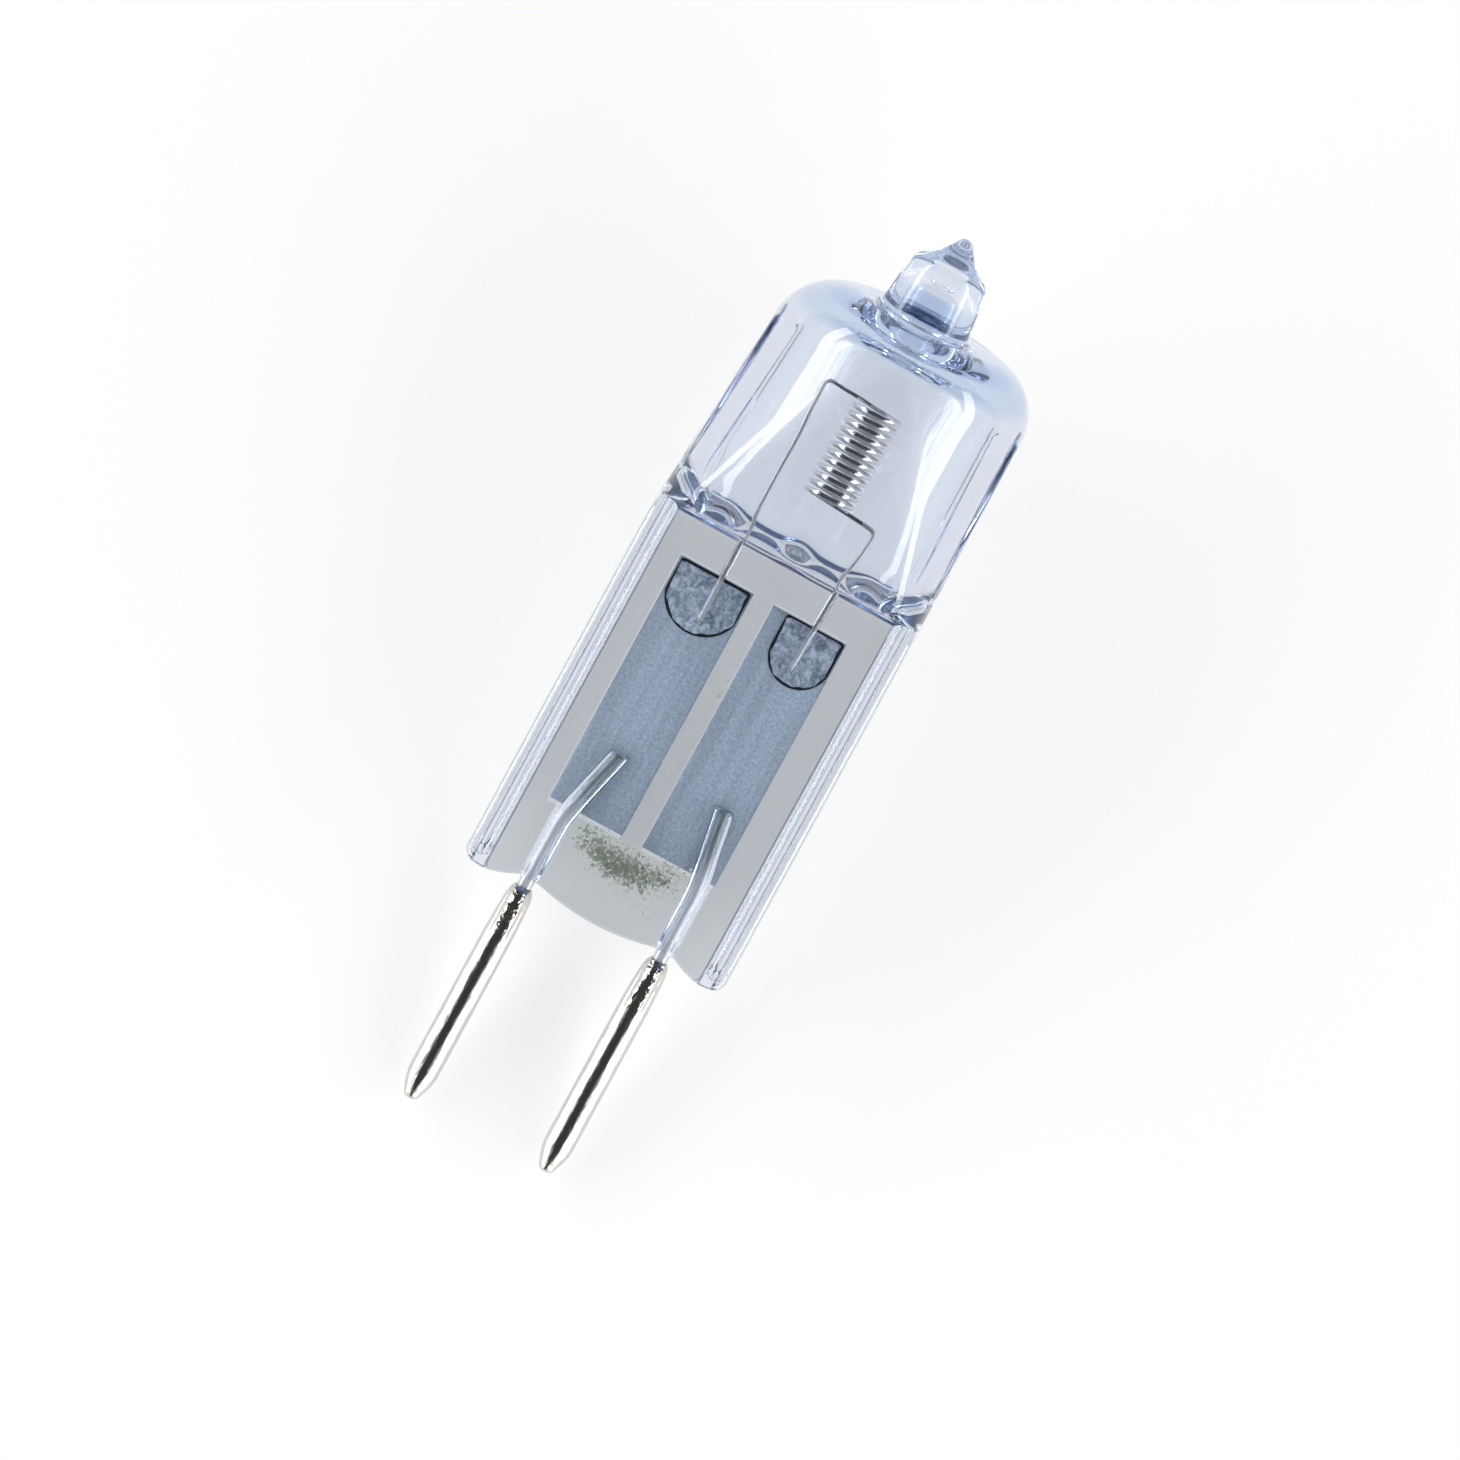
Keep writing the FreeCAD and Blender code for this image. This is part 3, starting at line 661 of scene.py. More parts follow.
def contact_pin(name, node_name, centre_x, material):
    # A turned sleeve with a bullet nose and a long dent front and back
    nose = [(0.0, PIN_LOW_Z), (0.14, PIN_LOW_Z), (PIN_END_RADIUS, PIN_LOW_Z + 0.05), (0.42, -9.70),
            (0.55, -9.34), (PIN_RADIUS - 0.02, PIN_NOSE_Z - 0.02), (PIN_RADIUS, PIN_NOSE_Z + 0.3)]
    rows = smooth_rows(nose, 26)[1:]
    rows += [(PIN_RADIUS, z) for z in np.linspace(-8.4, PIN_SHOULDER_Z - 0.8, 12)]
    rows += smooth_rows([(PIN_RADIUS, PIN_SHOULDER_Z - 0.6), (PIN_RADIUS - 0.01, PIN_SHOULDER_Z - 0.1),
                         (0.625, -1.6), (0.59, -0.9), (0.55, -0.42), (PIN_MOUTH_RADIUS, -0.12),
                         (0.38, -0.01), (LEAD_RADIUS + 0.01, 0.0)], 44)
    count = PIN_SIDES
    turn = np.linspace(0, 2 * math.pi, count, endpoint=False)
    rings = []
    for radius, z in rows:
        along = np.clip(1 - ((z - CRIMP_Z) / (CRIMP_LENGTH / 2)) ** 2, 0, 1)
        depth = CRIMP_DEPTH * along * np.clip(np.abs(np.sin(turn)), 0, 1) ** 6
        reach = radius - depth * (radius > CRIMP_LEAST_RADIUS)
        rings.append(np.column_stack([centre_x + reach * np.cos(turn), reach * np.sin(turn), np.full(count, z)]))
    points = np.concatenate(rings)
    faces = stitched(rings)
    end = len(points)
    points = np.concatenate([points, [[centre_x, 0, PIN_LOW_Z]]])
    faces += [((step + 1) % count, step, end) for step in range(count)]
    piece = mesh_piece(name, points, faces, material, [node_name])


def tab_outline(half, top, low):
    # Small round corners above, straight sides, one round lower edge
    side_z = TAB_HIGH_Z - TAB_SIDE_LENGTH
    sag = side_z - low
    bend = (half ** 2 + sag ** 2) / (2 * sag)
    reach = math.degrees(math.asin(half / bend)) if sag < half else 90.0
    corner = TAB_CORNER
    rows = arc_rows(half - corner, top - corner, corner, 90, 0, 6)
    rows += [(half, z) for z in np.linspace(top - corner, side_z, 8)[1:]]
    rows += arc_rows(0, low + bend, bend, reach - 90, -reach - 90, 40)[1:]
    rows += [(-half, z) for z in np.linspace(side_z, top - corner, 8)[1:]]
    rows += arc_rows(corner - half, top - corner, corner, 180, 90, 6)[1:]
    return np.array(rows)


def weld_plate(name, node_name, centre_x, width, face, edge):
    # The tab with its blackened rim, whose width wanders in three waves round the tab
    half = width / 2
    low = TAB_HIGH_Z - TAB_SIDE_LENGTH - TAB_ROUND_DEPTH
    outer = tab_outline(half, TAB_HIGH_Z, low)
    inner = tab_outline(half - TAB_RIM, TAB_HIGH_Z - TAB_RIM, low + TAB_RIM)
    count = len(outer)
    turn = np.linspace(0, 2 * math.pi, count, endpoint=False)
    wander = 0.25 * np.sin(3 * turn + centre_x) + 0.2 * np.sin(7 * turn) + 0.15 * np.sin(13 * turn + width)
    inner = inner + (outer - inner) * wander[:, None]
    rings = []
    for flat, y in ((outer, FOIL_FRONT_Y), (outer, TAB_FRONT_Y), (inner, TAB_FRONT_Y),
                    (inner, TAB_FRONT_Y + TAB_RIM_STEP)):
        rings.append(np.column_stack([centre_x + flat[:, 0], np.full(count, y), flat[:, 1]]))
    faces = [corners[::-1] for corners in stitched(rings)]
    faces.append(tuple(range(3 * count, 4 * count)))
    faces.append(tuple(range(count))[::-1])
    piece = mesh_piece(name, np.concatenate(rings), faces, edge, [node_name], smooth=False)
    piece.data.materials.append(face)
    for polygon in piece.data.polygons:
        if len(polygon.vertices) > 4:
            polygon.material_index = 1


def ink_flecks(material):
    # What is left of a worn print on the front of the web: small irregular flecks, in an arched patch
    # below the foils and scattered between them
    draw = np.random.default_rng(11)
    sides = INK_SIDES
    turns = np.linspace(0, 2 * math.pi, sides, endpoint=False)
    points = []
    faces = []
    for x_mid, z_mid, x_spread, z_spread, count, least, most in INK_PATCHES:
        for _ in range(count):
            x = x_mid + x_spread * (draw.uniform(-1, 1) + draw.uniform(-1, 1))
            z = z_mid + z_spread * draw.normal()
            if z_mid < FOIL_LOW_Z:
                z += INK_ARCH * (x - x_mid) ** 2
            radius = least + (most - least) * draw.random() ** 3
            first = len(points)
            reach = radius * draw.uniform(0.5, 1.3, sides)
            for level in (0.0, INK_THICKNESS):
                for turn, far in zip(turns, reach):
                    points.append((x + far * math.cos(turn), -WEB_HALF - level, z + far * math.sin(turn)))
            faces.append(tuple(first + side for side in range(sides)))
            faces.append(tuple(first + sides + side for side in reversed(range(sides))))
            for side in range(sides):
                after = (side + 1) % sides
                faces.append((first + after, first + side, first + sides + side, first + sides + after))
    mesh_piece("ink_flecks", points, [face[::-1] for face in faces], material, smooth=False)


# Materials. Their coordinates are the lamp's own millimetres, so a pattern's scale is the number of its
# grains in a millimetre.

def add(tree, kind, inputs=None, **settings):
    # Adds one node with its settings and links
    made = tree.nodes.new(kind)
    for name, value in settings.items():
        setattr(made, name, value)
    for key, value in (inputs or {}).items():
        if isinstance(value, bpy.types.NodeSocket):
            tree.links.new(value, made.inputs[key])
        else:
            made.inputs[key].default_value = value
    return made


def new_material(name):
    material = bpy.data.materials.new(name)
    material.use_nodes = True
    material.node_tree.nodes.clear()
    return material, material.node_tree


def finish_material(tree, surface):
    add(tree, "ShaderNodeOutputMaterial", {"Surface": surface})


def lamp_millimetres(tree):
    # Object coordinates turned into the lamp's own frame, in millimetres
    turn = lamp_to_row.transposed()
    shift = -(turn @ lamp_origin) / MM
    where = add(tree, "ShaderNodeTexCoord")
    return add(tree, "ShaderNodeMapping", {
        "Vector": where.outputs["Object"], "Location": shift, "Rotation": turn.to_euler(),
        "Scale": (1 / MM, 1 / MM, 1 / MM),
    }).outputs["Vector"]


def within(tree, value, middle, half, soft=0.10):
    # One inside a strip, nought outside it, with a soft edge
    off = add(tree, "ShaderNodeMath", {0: value, 1: middle}, operation="SUBTRACT")
    off = add(tree, "ShaderNodeMath", {0: off.outputs[0]}, operation="ABSOLUTE")
    return add(tree, "ShaderNodeMapRange", {
        "Value": off.outputs[0], "From Min": half - soft / 2, "From Max": half + soft / 2,
        "To Min": 1.0, "To Max": 0.0,
    }, interpolation_type="SMOOTHSTEP").outputs["Result"]


def quartz():
    # Clear fused quartz, blown and fire-polished, so it is mirror smooth and edges gather a faint blue. The
    # pressed web has painted shade in its colour: grey where it is bare, a little lighter towards the foot, with
    # two fine seams along each bead. The painted shade is left off the rails, and the quartz is clear over the
    # foils, the leads and the bulb, and bluish round the dome.
    material, tree = new_material("fused_quartz")
    place = lamp_millimetres(tree)
    parts = add(tree, "ShaderNodeSeparateXYZ", {"Vector": place})
    height = add(tree, "ShaderNodeMapRange", {"Value": parts.outputs["Z"], "From Min": CLEAR_BULB_Z[0],
                                               "From Max": CLEAR_BULB_Z[1]}, interpolation_type="SMOOTHSTEP")
    aside = add(tree, "ShaderNodeMath", {0: parts.outputs["X"]}, operation="ABSOLUTE")
    rail = add(tree, "ShaderNodeMapRange", {"Value": aside.outputs[0], "From Min": RAIL_X[0],
                                             "From Max": RAIL_X[1]}, interpolation_type="SMOOTHSTEP")
    foot = add(tree, "ShaderNodeMapRange", {"Value": parts.outputs["Z"], "From Min": FOOT_Z[0],
                                             "From Max": FOOT_Z[1]}, interpolation_type="SMOOTHSTEP")
    # Painted shade: the bare pressed web is coloured grey, a little lighter towards the foot
    web = add(tree, "ShaderNodeMix", {"Factor": foot.outputs["Result"], "A": linear("cfcfce"),
                                      "B": linear("dcdcda")}, data_type="RGBA")
    # The rails along the beads are left without the painted shade
    pressed = add(tree, "ShaderNodeMix", {"Factor": rail.outputs["Result"], "A": web.outputs["Result"],
                                          "B": linear("fcfcfc")}, data_type="RGBA")
    seams = add(tree, "ShaderNodeMath", {
        0: within(tree, aside.outputs[0], SEAM_INNER_X, SEAM_HALF, SEAM_SOFT),
        1: within(tree, aside.outputs[0], SEAM_OUTER_X, SEAM_HALF, SEAM_SOFT),
    }, operation="MAXIMUM")
    pressed = add(tree, "ShaderNodeMix", {"Factor": seams.outputs[0], "A": pressed.outputs["Result"],
                                          "B": linear("9a9ea6")}, data_type="RGBA")
    over_foils = add(tree, "ShaderNodeMath", {
        0: within(tree, parts.outputs["X"], *FOIL_LEFT),
        1: within(tree, parts.outputs["X"], *FOIL_RIGHT),
    }, operation="MAXIMUM")
    over_foils = add(tree, "ShaderNodeMath", {
        0: over_foils.outputs[0],
        1: within(tree, parts.outputs["Z"], (FOIL_LOW_Z + TAB_HIGH_Z) / 2, (TAB_HIGH_Z - FOIL_LOW_Z) / 2),
    }, operation="MULTIPLY")
    over_leads = add(tree, "ShaderNodeMath", {
        0: within(tree, aside.outputs[0], PIN_X, LEAD_RADIUS + LEAD_GAP),
        1: within(tree, parts.outputs["Z"], 0, FOIL_LOW_Z),
    }, operation="MULTIPLY")
    clear = add(tree, "ShaderNodeMath", {0: over_foils.outputs[0], 1: over_leads.outputs[0]}, operation="MAXIMUM")
    # The quartz over the foils and the leads is left without the painted shade
    pressed = add(tree, "ShaderNodeMix", {"Factor": clear.outputs[0], "A": pressed.outputs["Result"],
                                          "B": linear("f8f8f9")}, data_type="RGBA")
    tint_and_painted_shade = add(tree, "ShaderNodeMix", {"Factor": height.outputs["Result"], "A": pressed.outputs["Result"],
                                       "B": linear("f3f5f9")}, data_type="RGBA")
    tint_and_painted_shade = add(tree, "ShaderNodeMix", {"Factor": within(tree, parts.outputs["Z"], *DOME_TINT),
                                       "A": tint_and_painted_shade.outputs["Result"], "B": linear("dae4f2")}, data_type="RGBA")
    # The quartz's base colour carries the painted shade of the web
    surface = add(tree, "ShaderNodeBsdfPrincipled", {
        "Base Color": tint_and_painted_shade.outputs["Result"], "Roughness": 0.0, "IOR": 1.458, "Transmission Weight": 1.0,
    })
    body = add(tree, "ShaderNodeVolumeAbsorption", {"Color": linear("a8c0e0"), "Density": 110.0})
    add(tree, "ShaderNodeOutputMaterial", {"Surface": surface.outputs["BSDF"], "Volume": body.outputs["Volume"]})
    return material


def tungsten():
    # Drawn tungsten wire: grey metal, bright where light catches the outside of each turn, dull on the inside
    # of the turns and on the legs. The faint grains are 0.1 mm, coarser than the real ones so that they show.
    material, tree = new_material("drawn_tungsten")
    place = lamp_millimetres(tree)
    grain = add(tree, "ShaderNodeTexNoise", {"Vector": place, "Scale": 9.0, "Detail": 3.0})
    tone = add(tree, "ShaderNodeMix", {"Factor": grain.outputs["Fac"], "A": linear("d6d5d4"),
                                       "B": linear("f6f5f4")}, data_type="RGBA")
    parts = add(tree, "ShaderNodeSeparateXYZ", {"Vector": place})
    aside = add(tree, "ShaderNodeMath", {0: parts.outputs["X"]}, operation="ABSOLUTE")
    middle = add(tree, "ShaderNodeVectorMath", {0: place, 1: (COIL_X, 0, COIL_CENTRE_Z)}, operation="SUBTRACT")
    leaned = add(tree, "ShaderNodeMapping", {"Vector": middle.outputs["Vector"],
                                             "Rotation": (COIL_LEAN_BACK, -COIL_LEAN_SIDE, 0)})
    flat = add(tree, "ShaderNodeVectorMath", {0: leaned.outputs["Vector"], 1: (1, 1, 0)}, operation="MULTIPLY")
    reach = add(tree, "ShaderNodeVectorMath", {0: flat.outputs["Vector"]}, operation="LENGTH")
    inside = add(tree, "ShaderNodeMapRange", {"Value": reach.outputs["Value"], "From Min": COIL_BRIGHT_RADIUS,
                                              "From Max": COIL_DULL_RADIUS}, interpolation_type="SMOOTHSTEP")
    legs = within(tree, aside.outputs[0], *LEGS_X)
    dull = add(tree, "ShaderNodeMath", {0: inside.outputs["Result"], 1: legs}, operation="MAXIMUM")
    gloss = add(tree, "ShaderNodeMapRange", {"Value": dull.outputs[0], "To Min": 0.07, "To Max": 0.55})
    surface = add(tree, "ShaderNodeBsdfPrincipled", {
        "Base Color": tone.outputs["Result"], "Metallic": 1.0, "Roughness": gloss.outputs["Result"],
    })
    finish_material(tree, surface.outputs["BSDF"])
    return material


def molybdenum_foil():
    # Etched molybdenum foil: satin blue-grey, with long soft creases up the strip, 0.6 mm apart, bumped and with
    # painted shade and light: darker in the valleys of the creases, lighter on their ridges. The etch is finer
    # than the render can show, so its specks are drawn 0.14 mm wide.
    material, tree = new_material("etched_molybdenum")
    place = lamp_millimetres(tree)
    speck = add(tree, "ShaderNodeTexNoise", {"Vector": place, "Scale": 7.0, "Detail": 3.0, "Roughness": 0.8})
    drawn = add(tree, "ShaderNodeMapping", {"Vector": place, "Scale": (1.6, 1.6, 0.10)})
    crease = add(tree, "ShaderNodeTexNoise", {"Vector": drawn.outputs["Vector"], "Scale": 1.0, "Detail": 3.0,
                                              "Distortion": 0.6})
    sharp = add(tree, "ShaderNodeMapRange", {"Value": speck.outputs["Fac"], "From Min": 0.32, "From Max": 0.68})
    tone = add(tree, "ShaderNodeMix", {"Factor": sharp.outputs["Result"], "A": linear("a6bacb"),
                                       "B": linear("dfeaf4")}, data_type="RGBA")
    # Painted shade and light along the creases: darker in their valleys, lighter on their ridges
    crease_painted_shade = add(tree, "ShaderNodeMapRange", {"Value": crease.outputs["Fac"], "From Min": 0.40, "From Max": 0.62,
                                            "To Min": 0.90, "To Max": 1.04}, interpolation_type="SMOOTHSTEP")
    shade = add(tree, "ShaderNodeMix", {"Factor": 1.0, "A": tone.outputs["Result"], "B": crease_painted_shade.outputs["Result"]},
                data_type="RGBA", blend_type="MULTIPLY")
    height = add(tree, "ShaderNodeMath", {0: crease.outputs["Fac"], 1: 4.0, 2: speck.outputs["Fac"]},
                 operation="MULTIPLY_ADD")
    relief = add(tree, "ShaderNodeBump", {"Height": height.outputs[0], "Strength": 0.35, "Distance": 0.00006})
    surface = add(tree, "ShaderNodeBsdfPrincipled", {
        "Base Color": shade.outputs["Result"], "Metallic": 0.12, "Roughness": 0.55,
        "Normal": relief.outputs["Normal"],
    })
    finish_material(tree, surface.outputs["BSDF"])
    return material


def weld_tab():
    # Oxidised metal tab: mottled blue-grey, dark and pale in patches of about 0.4 mm
    material, tree = new_material("mottled_weld_tab")
    place = lamp_millimetres(tree)
    mottle = add(tree, "ShaderNodeTexNoise", {"Vector": place, "Scale": 2.6, "Detail": 6.0, "Roughness": 0.72,
                                              "Distortion": 0.8})
    tone = add(tree, "ShaderNodeValToRGB", {"Fac": mottle.outputs["Fac"]})
    tone.color_ramp.elements[0].position = 0.38
    tone.color_ramp.elements[0].color = linear("75859a")
    tone.color_ramp.elements[1].position = 0.61
    tone.color_ramp.elements[1].color = linear("e6f0fc")
    relief = add(tree, "ShaderNodeBump", {"Height": mottle.outputs["Fac"], "Strength": 0.5, "Distance": 0.00006})
    surface = add(tree, "ShaderNodeBsdfPrincipled", {
        "Base Color": tone.outputs["Color"], "Metallic": 0.12, "Roughness": 0.45,
        "Normal": relief.outputs["Normal"],
    })
    finish_material(tree, surface.outputs["BSDF"])
    return material


def burnt_edge():
    # Cut edge of the tab, blackened by the weld: matt soot in grains of 0.2 mm
    material, tree = new_material("burnt_tab_edge")
    place = lamp_millimetres(tree)
    soot = add(tree, "ShaderNodeTexNoise", {"Vector": place, "Scale": 5.0, "Detail": 3.0})
    tone = add(tree, "ShaderNodeMix", {"Factor": soot.outputs["Fac"], "A": linear("0a0d12"),
                                       "B": linear("2c343c")}, data_type="RGBA")
    surface = add(tree, "ShaderNodeBsdfPrincipled", {
        "Base Color": tone.outputs["Result"], "Metallic": 0.2, "Roughness": 0.6,
    })
    finish_material(tree, surface.outputs["BSDF"])
    return material


def molybdenum_lead():
    # Drawn molybdenum wire: pale and bluish low down and darker higher up, over the foil, with draw lines
    # 0.14 mm apart, coarser than the real ones so that they show
    material, tree = new_material("drawn_molybdenum")
    place = lamp_millimetres(tree)
    parts = add(tree, "ShaderNodeSeparateXYZ", {"Vector": place})
    stretched = add(tree, "ShaderNodeMapping", {"Vector": place, "Scale": (7.0, 7.0, 0.5)})
    lines = add(tree, "ShaderNodeTexNoise", {"Vector": stretched.outputs["Vector"], "Scale": 1.0, "Detail": 3.0})
    height = add(tree, "ShaderNodeMapRange", {"Value": parts.outputs["Z"], "From Min": LEAD_PALE_Z[0],
                                               "From Max": LEAD_PALE_Z[1]}, interpolation_type="SMOOTHSTEP")
    pale = add(tree, "ShaderNodeMix", {"Factor": lines.outputs["Fac"], "A": linear("dce6f0"),
                                       "B": linear("fafcfe")}, data_type="RGBA")
    dark = add(tree, "ShaderNodeMix", {"Factor": lines.outputs["Fac"], "A": linear("59666c"),
                                       "B": linear("b3c0c6")}, data_type="RGBA")
    tone = add(tree, "ShaderNodeMix", {"Factor": height.outputs["Result"], "A": pale.outputs["Result"],
                                       "B": dark.outputs["Result"]}, data_type="RGBA")
    surface = add(tree, "ShaderNodeBsdfPrincipled", {
        "Base Color": tone.outputs["Result"], "Metallic": 0.2, "Roughness": 0.28,
    })
    finish_material(tree, surface.outputs["BSDF"])
    return material


def nickel():
    # Bright nickel plating on a drawn sleeve: drawing lines run along the pin, 0.17 mm apart, coarser than the
    # real ones so that they show. The crimp's jaws left dents of 0.25 mm front and back.
    material, tree = new_material("nickel_plate")
    place = lamp_millimetres(tree)
    parts = add(tree, "ShaderNodeSeparateXYZ", {"Vector": place})
    stretched = add(tree, "ShaderNodeMapping", {"Vector": place, "Scale": (6.0, 6.0, 1.1)})
    lines = add(tree, "ShaderNodeTexNoise", {"Vector": stretched.outputs["Vector"], "Scale": 1.0, "Detail": 5.0,
                                             "Roughness": 0.7})
    dents = add(tree, "ShaderNodeTexNoise", {"Vector": place, "Scale": 4.0, "Detail": 2.0})
    crimped = add(tree, "ShaderNodeMapRange", {"Value": parts.outputs["Z"], "From Min": CRIMP_MARKS_Z[0],
                                               "From Max": CRIMP_MARKS_Z[1], "To Min": 0.0,
                                               "To Max": CRIMP_MARKS_TIMES}, interpolation_type="SMOOTHSTEP")
    aside = add(tree, "ShaderNodeMath", {0: parts.outputs["X"]}, operation="ABSOLUTE")
    from_middle = add(tree, "ShaderNodeMath", {0: aside.outputs[0], 1: PIN_X}, operation="SUBTRACT")
    off_centre = add(tree, "ShaderNodeMath", {0: from_middle.outputs[0]}, operation="ABSOLUTE")
    jaw = add(tree, "ShaderNodeMapRange", {"Value": off_centre.outputs[0], "From Min": JAW_EDGE_X[0],
                                           "From Max": JAW_EDGE_X[1], "To Min": 1.0, "To Max": 0.0},
              interpolation_type="SMOOTHSTEP")
    pressed = add(tree, "ShaderNodeMath", {0: crimped.outputs["Result"], 1: jaw.outputs["Result"]},
                  operation="MULTIPLY")
    height = add(tree, "ShaderNodeMath", {0: dents.outputs["Fac"], 1: pressed.outputs[0],
                                          2: lines.outputs["Fac"]}, operation="MULTIPLY_ADD")
    relief = add(tree, "ShaderNodeBump", {"Height": height.outputs[0], "Strength": 0.35, "Distance": 0.00011})
    surface = add(tree, "ShaderNodeBsdfPrincipled", {
        "Base Color": linear("d9d6d2"), "Metallic": 1.0, "Roughness": 0.10, "Normal": relief.outputs["Normal"],
    })
    finish_material(tree, surface.outputs["BSDF"])
    return material


def print_ink():
    # Worn ceramic ink, baked on: matt olive grey with darker grains of 0.3 mm
    material, tree = new_material("worn_print_ink")
    place = lamp_millimetres(tree)
    grain = add(tree, "ShaderNodeTexNoise", {"Vector": place, "Scale": 3.0, "Detail": 3.0})
    tone = add(tree, "ShaderNodeMix", {"Factor": grain.outputs["Fac"], "A": linear("b0bcb2"),
                                       "B": linear("d8e2da")}, data_type="RGBA")
    surface = add(tree, "ShaderNodeBsdfPrincipled", {"Base Color": tone.outputs["Result"], "Roughness": 0.7})
    finish_material(tree, surface.outputs["BSDF"])
    return material


def table_top():
    # A white table: camera, mirror and glass rays see it white, and it keeps the lamp's shadow
    material, tree = new_material("white_table")
    light = add(tree, "ShaderNodeLightPath")
    seen = add(tree, "ShaderNodeMath", {0: light.outputs["Is Camera Ray"], 1: light.outputs["Is Glossy Ray"]},
               operation="MAXIMUM")
    seen = add(tree, "ShaderNodeMath", {0: seen.outputs[0], 1: light.outputs["Is Transmission Ray"]},
               operation="MAXIMUM")
    glow = add(tree, "ShaderNodeMath", {0: seen.outputs[0], 1: TABLE_GLOW}, operation="MULTIPLY")
    cloth = add(tree, "ShaderNodeBsdfDiffuse", {"Color": linear("909090")})
    shine = add(tree, "ShaderNodeEmission", {"Color": (1, 1, 1, 1), "Strength": glow.outputs[0]})
    both = add(tree, "ShaderNodeAddShader", {0: cloth.outputs["BSDF"], 1: shine.outputs["Emission"]})
    finish_material(tree, both.outputs["Shader"])
    return material


def floor():
    mesh = bpy.data.meshes.new("table")
    reach = 3.0
    mesh.from_pydata([(-reach, -reach, 0), (reach, -reach, 0), (reach, reach, 0), (-reach, reach, 0)], [],
                     [(0, 1, 2, 3)])
    mesh.materials.append(table_top())
    table = bpy.data.objects.new("table", mesh)
    bpy.context.scene.collection.objects.link(table)


def studio_world():
    # White for the camera. For everything else bright to both sides, dim overhead and along the lamp. Bare
    # metal sees the dim part a little wider, and light that comes straight through the glass, or was
    # reflected in it three times or more, never finds it dark.
    world = bpy.data.worlds.new("studio")
    bpy.context.scene.world = world
    world.use_nodes = True
    tree = world.node_tree
    tree.nodes.clear()
    where = add(tree, "ShaderNodeTexCoord")
    parts = add(tree, "ShaderNodeSeparateXYZ", {"Vector": where.outputs["Generated"]})
    aside = add(tree, "ShaderNodeMath", {0: parts.outputs["X"]}, operation="ABSOLUTE")
    light = add(tree, "ShaderNodeLightPath")
    bare = add(tree, "ShaderNodeMath", {0: light.outputs["Transmission Depth"], 1: 0.5}, operation="LESS_THAN")
    bare = add(tree, "ShaderNodeMath", {0: bare.outputs[0], 1: light.outputs["Is Glossy Ray"]},
               operation="MULTIPLY")
    aside = add(tree, "ShaderNodeMath", {0: bare.outputs[0], 1: -BARE_METAL_SHIFT, 2: aside.outputs[0]},
                operation="MULTIPLY_ADD")
    sides = add(tree, "ShaderNodeMapRange", {
        "Value": aside.outputs[0], "From Min": WORLD_EDGE_X[0], "From Max": WORLD_EDGE_X[1],
        "To Min": WORLD_DIM, "To Max": WORLD_BRIGHT,
    }, interpolation_type="SMOOTHSTEP")
    straight = add(tree, "ShaderNodeMath", {0: light.outputs["Glossy Depth"], 1: 0.5}, operation="LESS_THAN")
    through = add(tree, "ShaderNodeMath", {0: light.outputs["Is Transmission Ray"], 1: straight.outputs[0]},
                  operation="MULTIPLY")
    through = add(tree, "ShaderNodeMath", {0: through.outputs[0], 1: THROUGH_LEVEL}, operation="MULTIPLY")
    level = add(tree, "ShaderNodeMath", {0: sides.outputs["Result"], 1: light.outputs["Is Camera Ray"]},
                operation="MAXIMUM")
    level = add(tree, "ShaderNodeMath", {0: level.outputs[0], 1: through.outputs[0]}, operation="MAXIMUM")
    trapped = add(tree, "ShaderNodeMath", {0: light.outputs["Glossy Depth"], 1: 2.5}, operation="GREATER_THAN")
    trapped = add(tree, "ShaderNodeMath", {0: trapped.outputs[0], 1: TRAPPED_LEVEL}, operation="MULTIPLY")
    level = add(tree, "ShaderNodeMath", {0: level.outputs[0], 1: trapped.outputs[0]}, operation="MAXIMUM")
    sky = add(tree, "ShaderNodeBackground", {"Color": (1, 1, 1, 1), "Strength": level.outputs[0]})
    add(tree, "ShaderNodeOutputWorld", {"Surface": sky.outputs["Background"]})


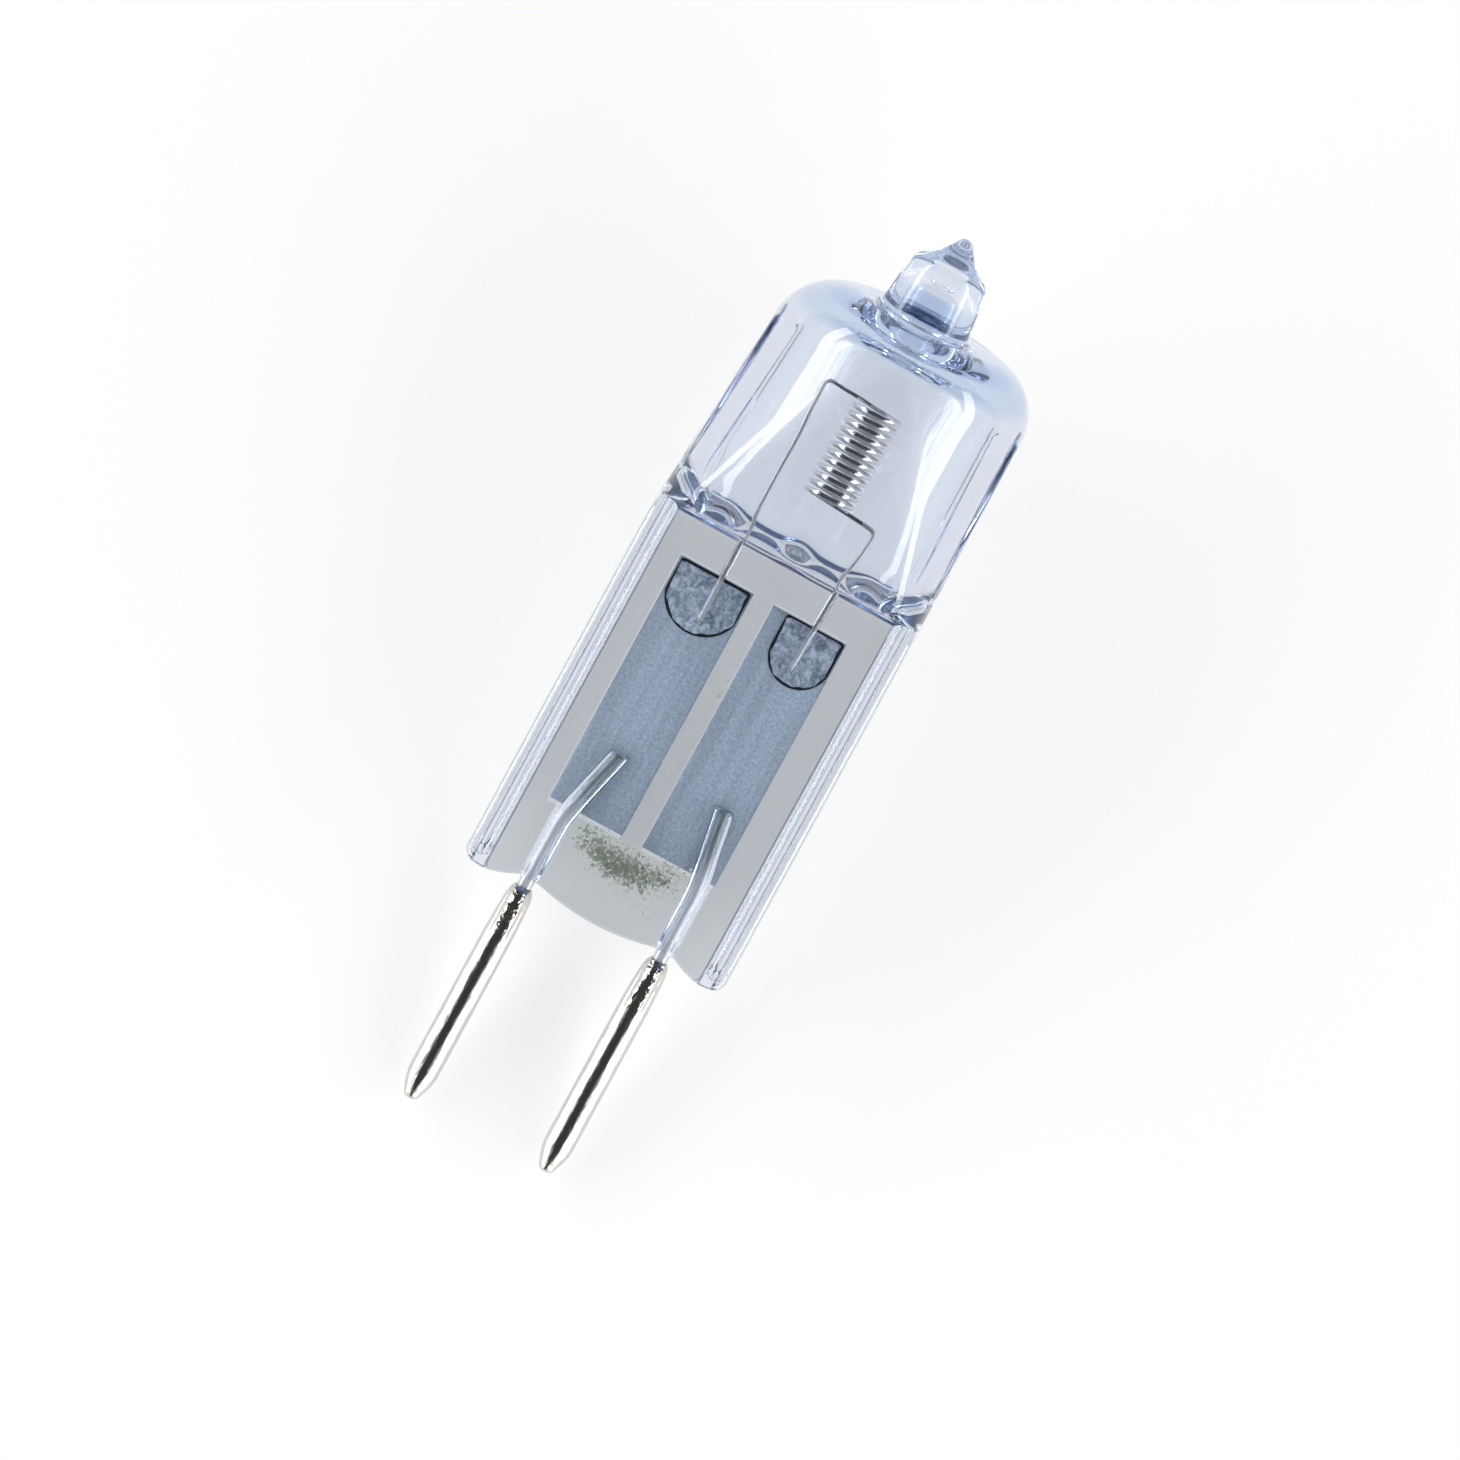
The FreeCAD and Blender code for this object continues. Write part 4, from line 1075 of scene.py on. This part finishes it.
def soft_box(name, place, size, power, target):
    lamp = bpy.data.lights.new(name, "AREA")
    lamp.shape = "RECTANGLE"
    lamp.size, lamp.size_y = size
    lamp.energy = power
    box = bpy.data.objects.new(name, lamp)
    bpy.context.scene.collection.objects.link(box)
    box.location = place
    box.rotation_euler = (Vector(target) - Vector(place)).to_track_quat("-Z", "Y").to_euler()


def studio_lamps():
    # Two long narrow soft boxes, one on each side of the pins
    for name, across in (("soft_box_left", -0.46), ("soft_box_right", 0.46)):
        soft_box(name, (across, -0.30, 0.18), (1.60, 0.10), 3.8, (0, -0.30, 0.005))


def camera():
    # Straight above, through a long lens, with the lamp's axis turned clockwise
    distance = 0.80
    frame_width = 0.06033
    aim = Vector((0.00119, -0.00130, 0.0))
    turn = math.radians(28.6)
    view = bpy.data.cameras.new("camera")
    view.sensor_width = 36.0
    view.lens = view.sensor_width * distance / frame_width
    view.clip_start = 0.05
    view.clip_end = 20.0
    eye = bpy.data.objects.new("camera", view)
    bpy.context.scene.collection.objects.link(eye)
    eye.location = aim + Vector((0, 0, distance))
    eye.rotation_euler = (0, 0, turn)
    bpy.context.scene.camera = eye


glass = quartz()
foil = molybdenum_foil()
tab = weld_tab()
edge = burnt_edge()
lead = molybdenum_lead()
plating = nickel()
for node_name, finish in (("foil_left", foil), ("foil_right", foil), ("lead_left", lead), ("lead_right", lead)):
    node = frame["nodes"][node_name]
    node.data.materials.clear()
    node.data.materials.append(finish)

quartz_envelope(glass)
weld_plate("tab_plate_left", "weld_tab_left", *TAB_LEFT, tab, edge)
weld_plate("tab_plate_right", "weld_tab_right", *TAB_RIGHT, tab, edge)
ink_flecks(print_ink())
tungsten_filament(tungsten())
contact_pin("pin_sleeve_left", "pin_left", -PIN_X, plating)
contact_pin("pin_sleeve_right", "pin_right", PIN_X, plating)
floor()
studio_world()
studio_lamps()
camera()
bpy.context.scene.view_settings.view_transform = "Standard"
# Light is followed through as many reflections inside the quartz as through its surfaces
bpy.context.scene.cycles.glossy_bounces = 12
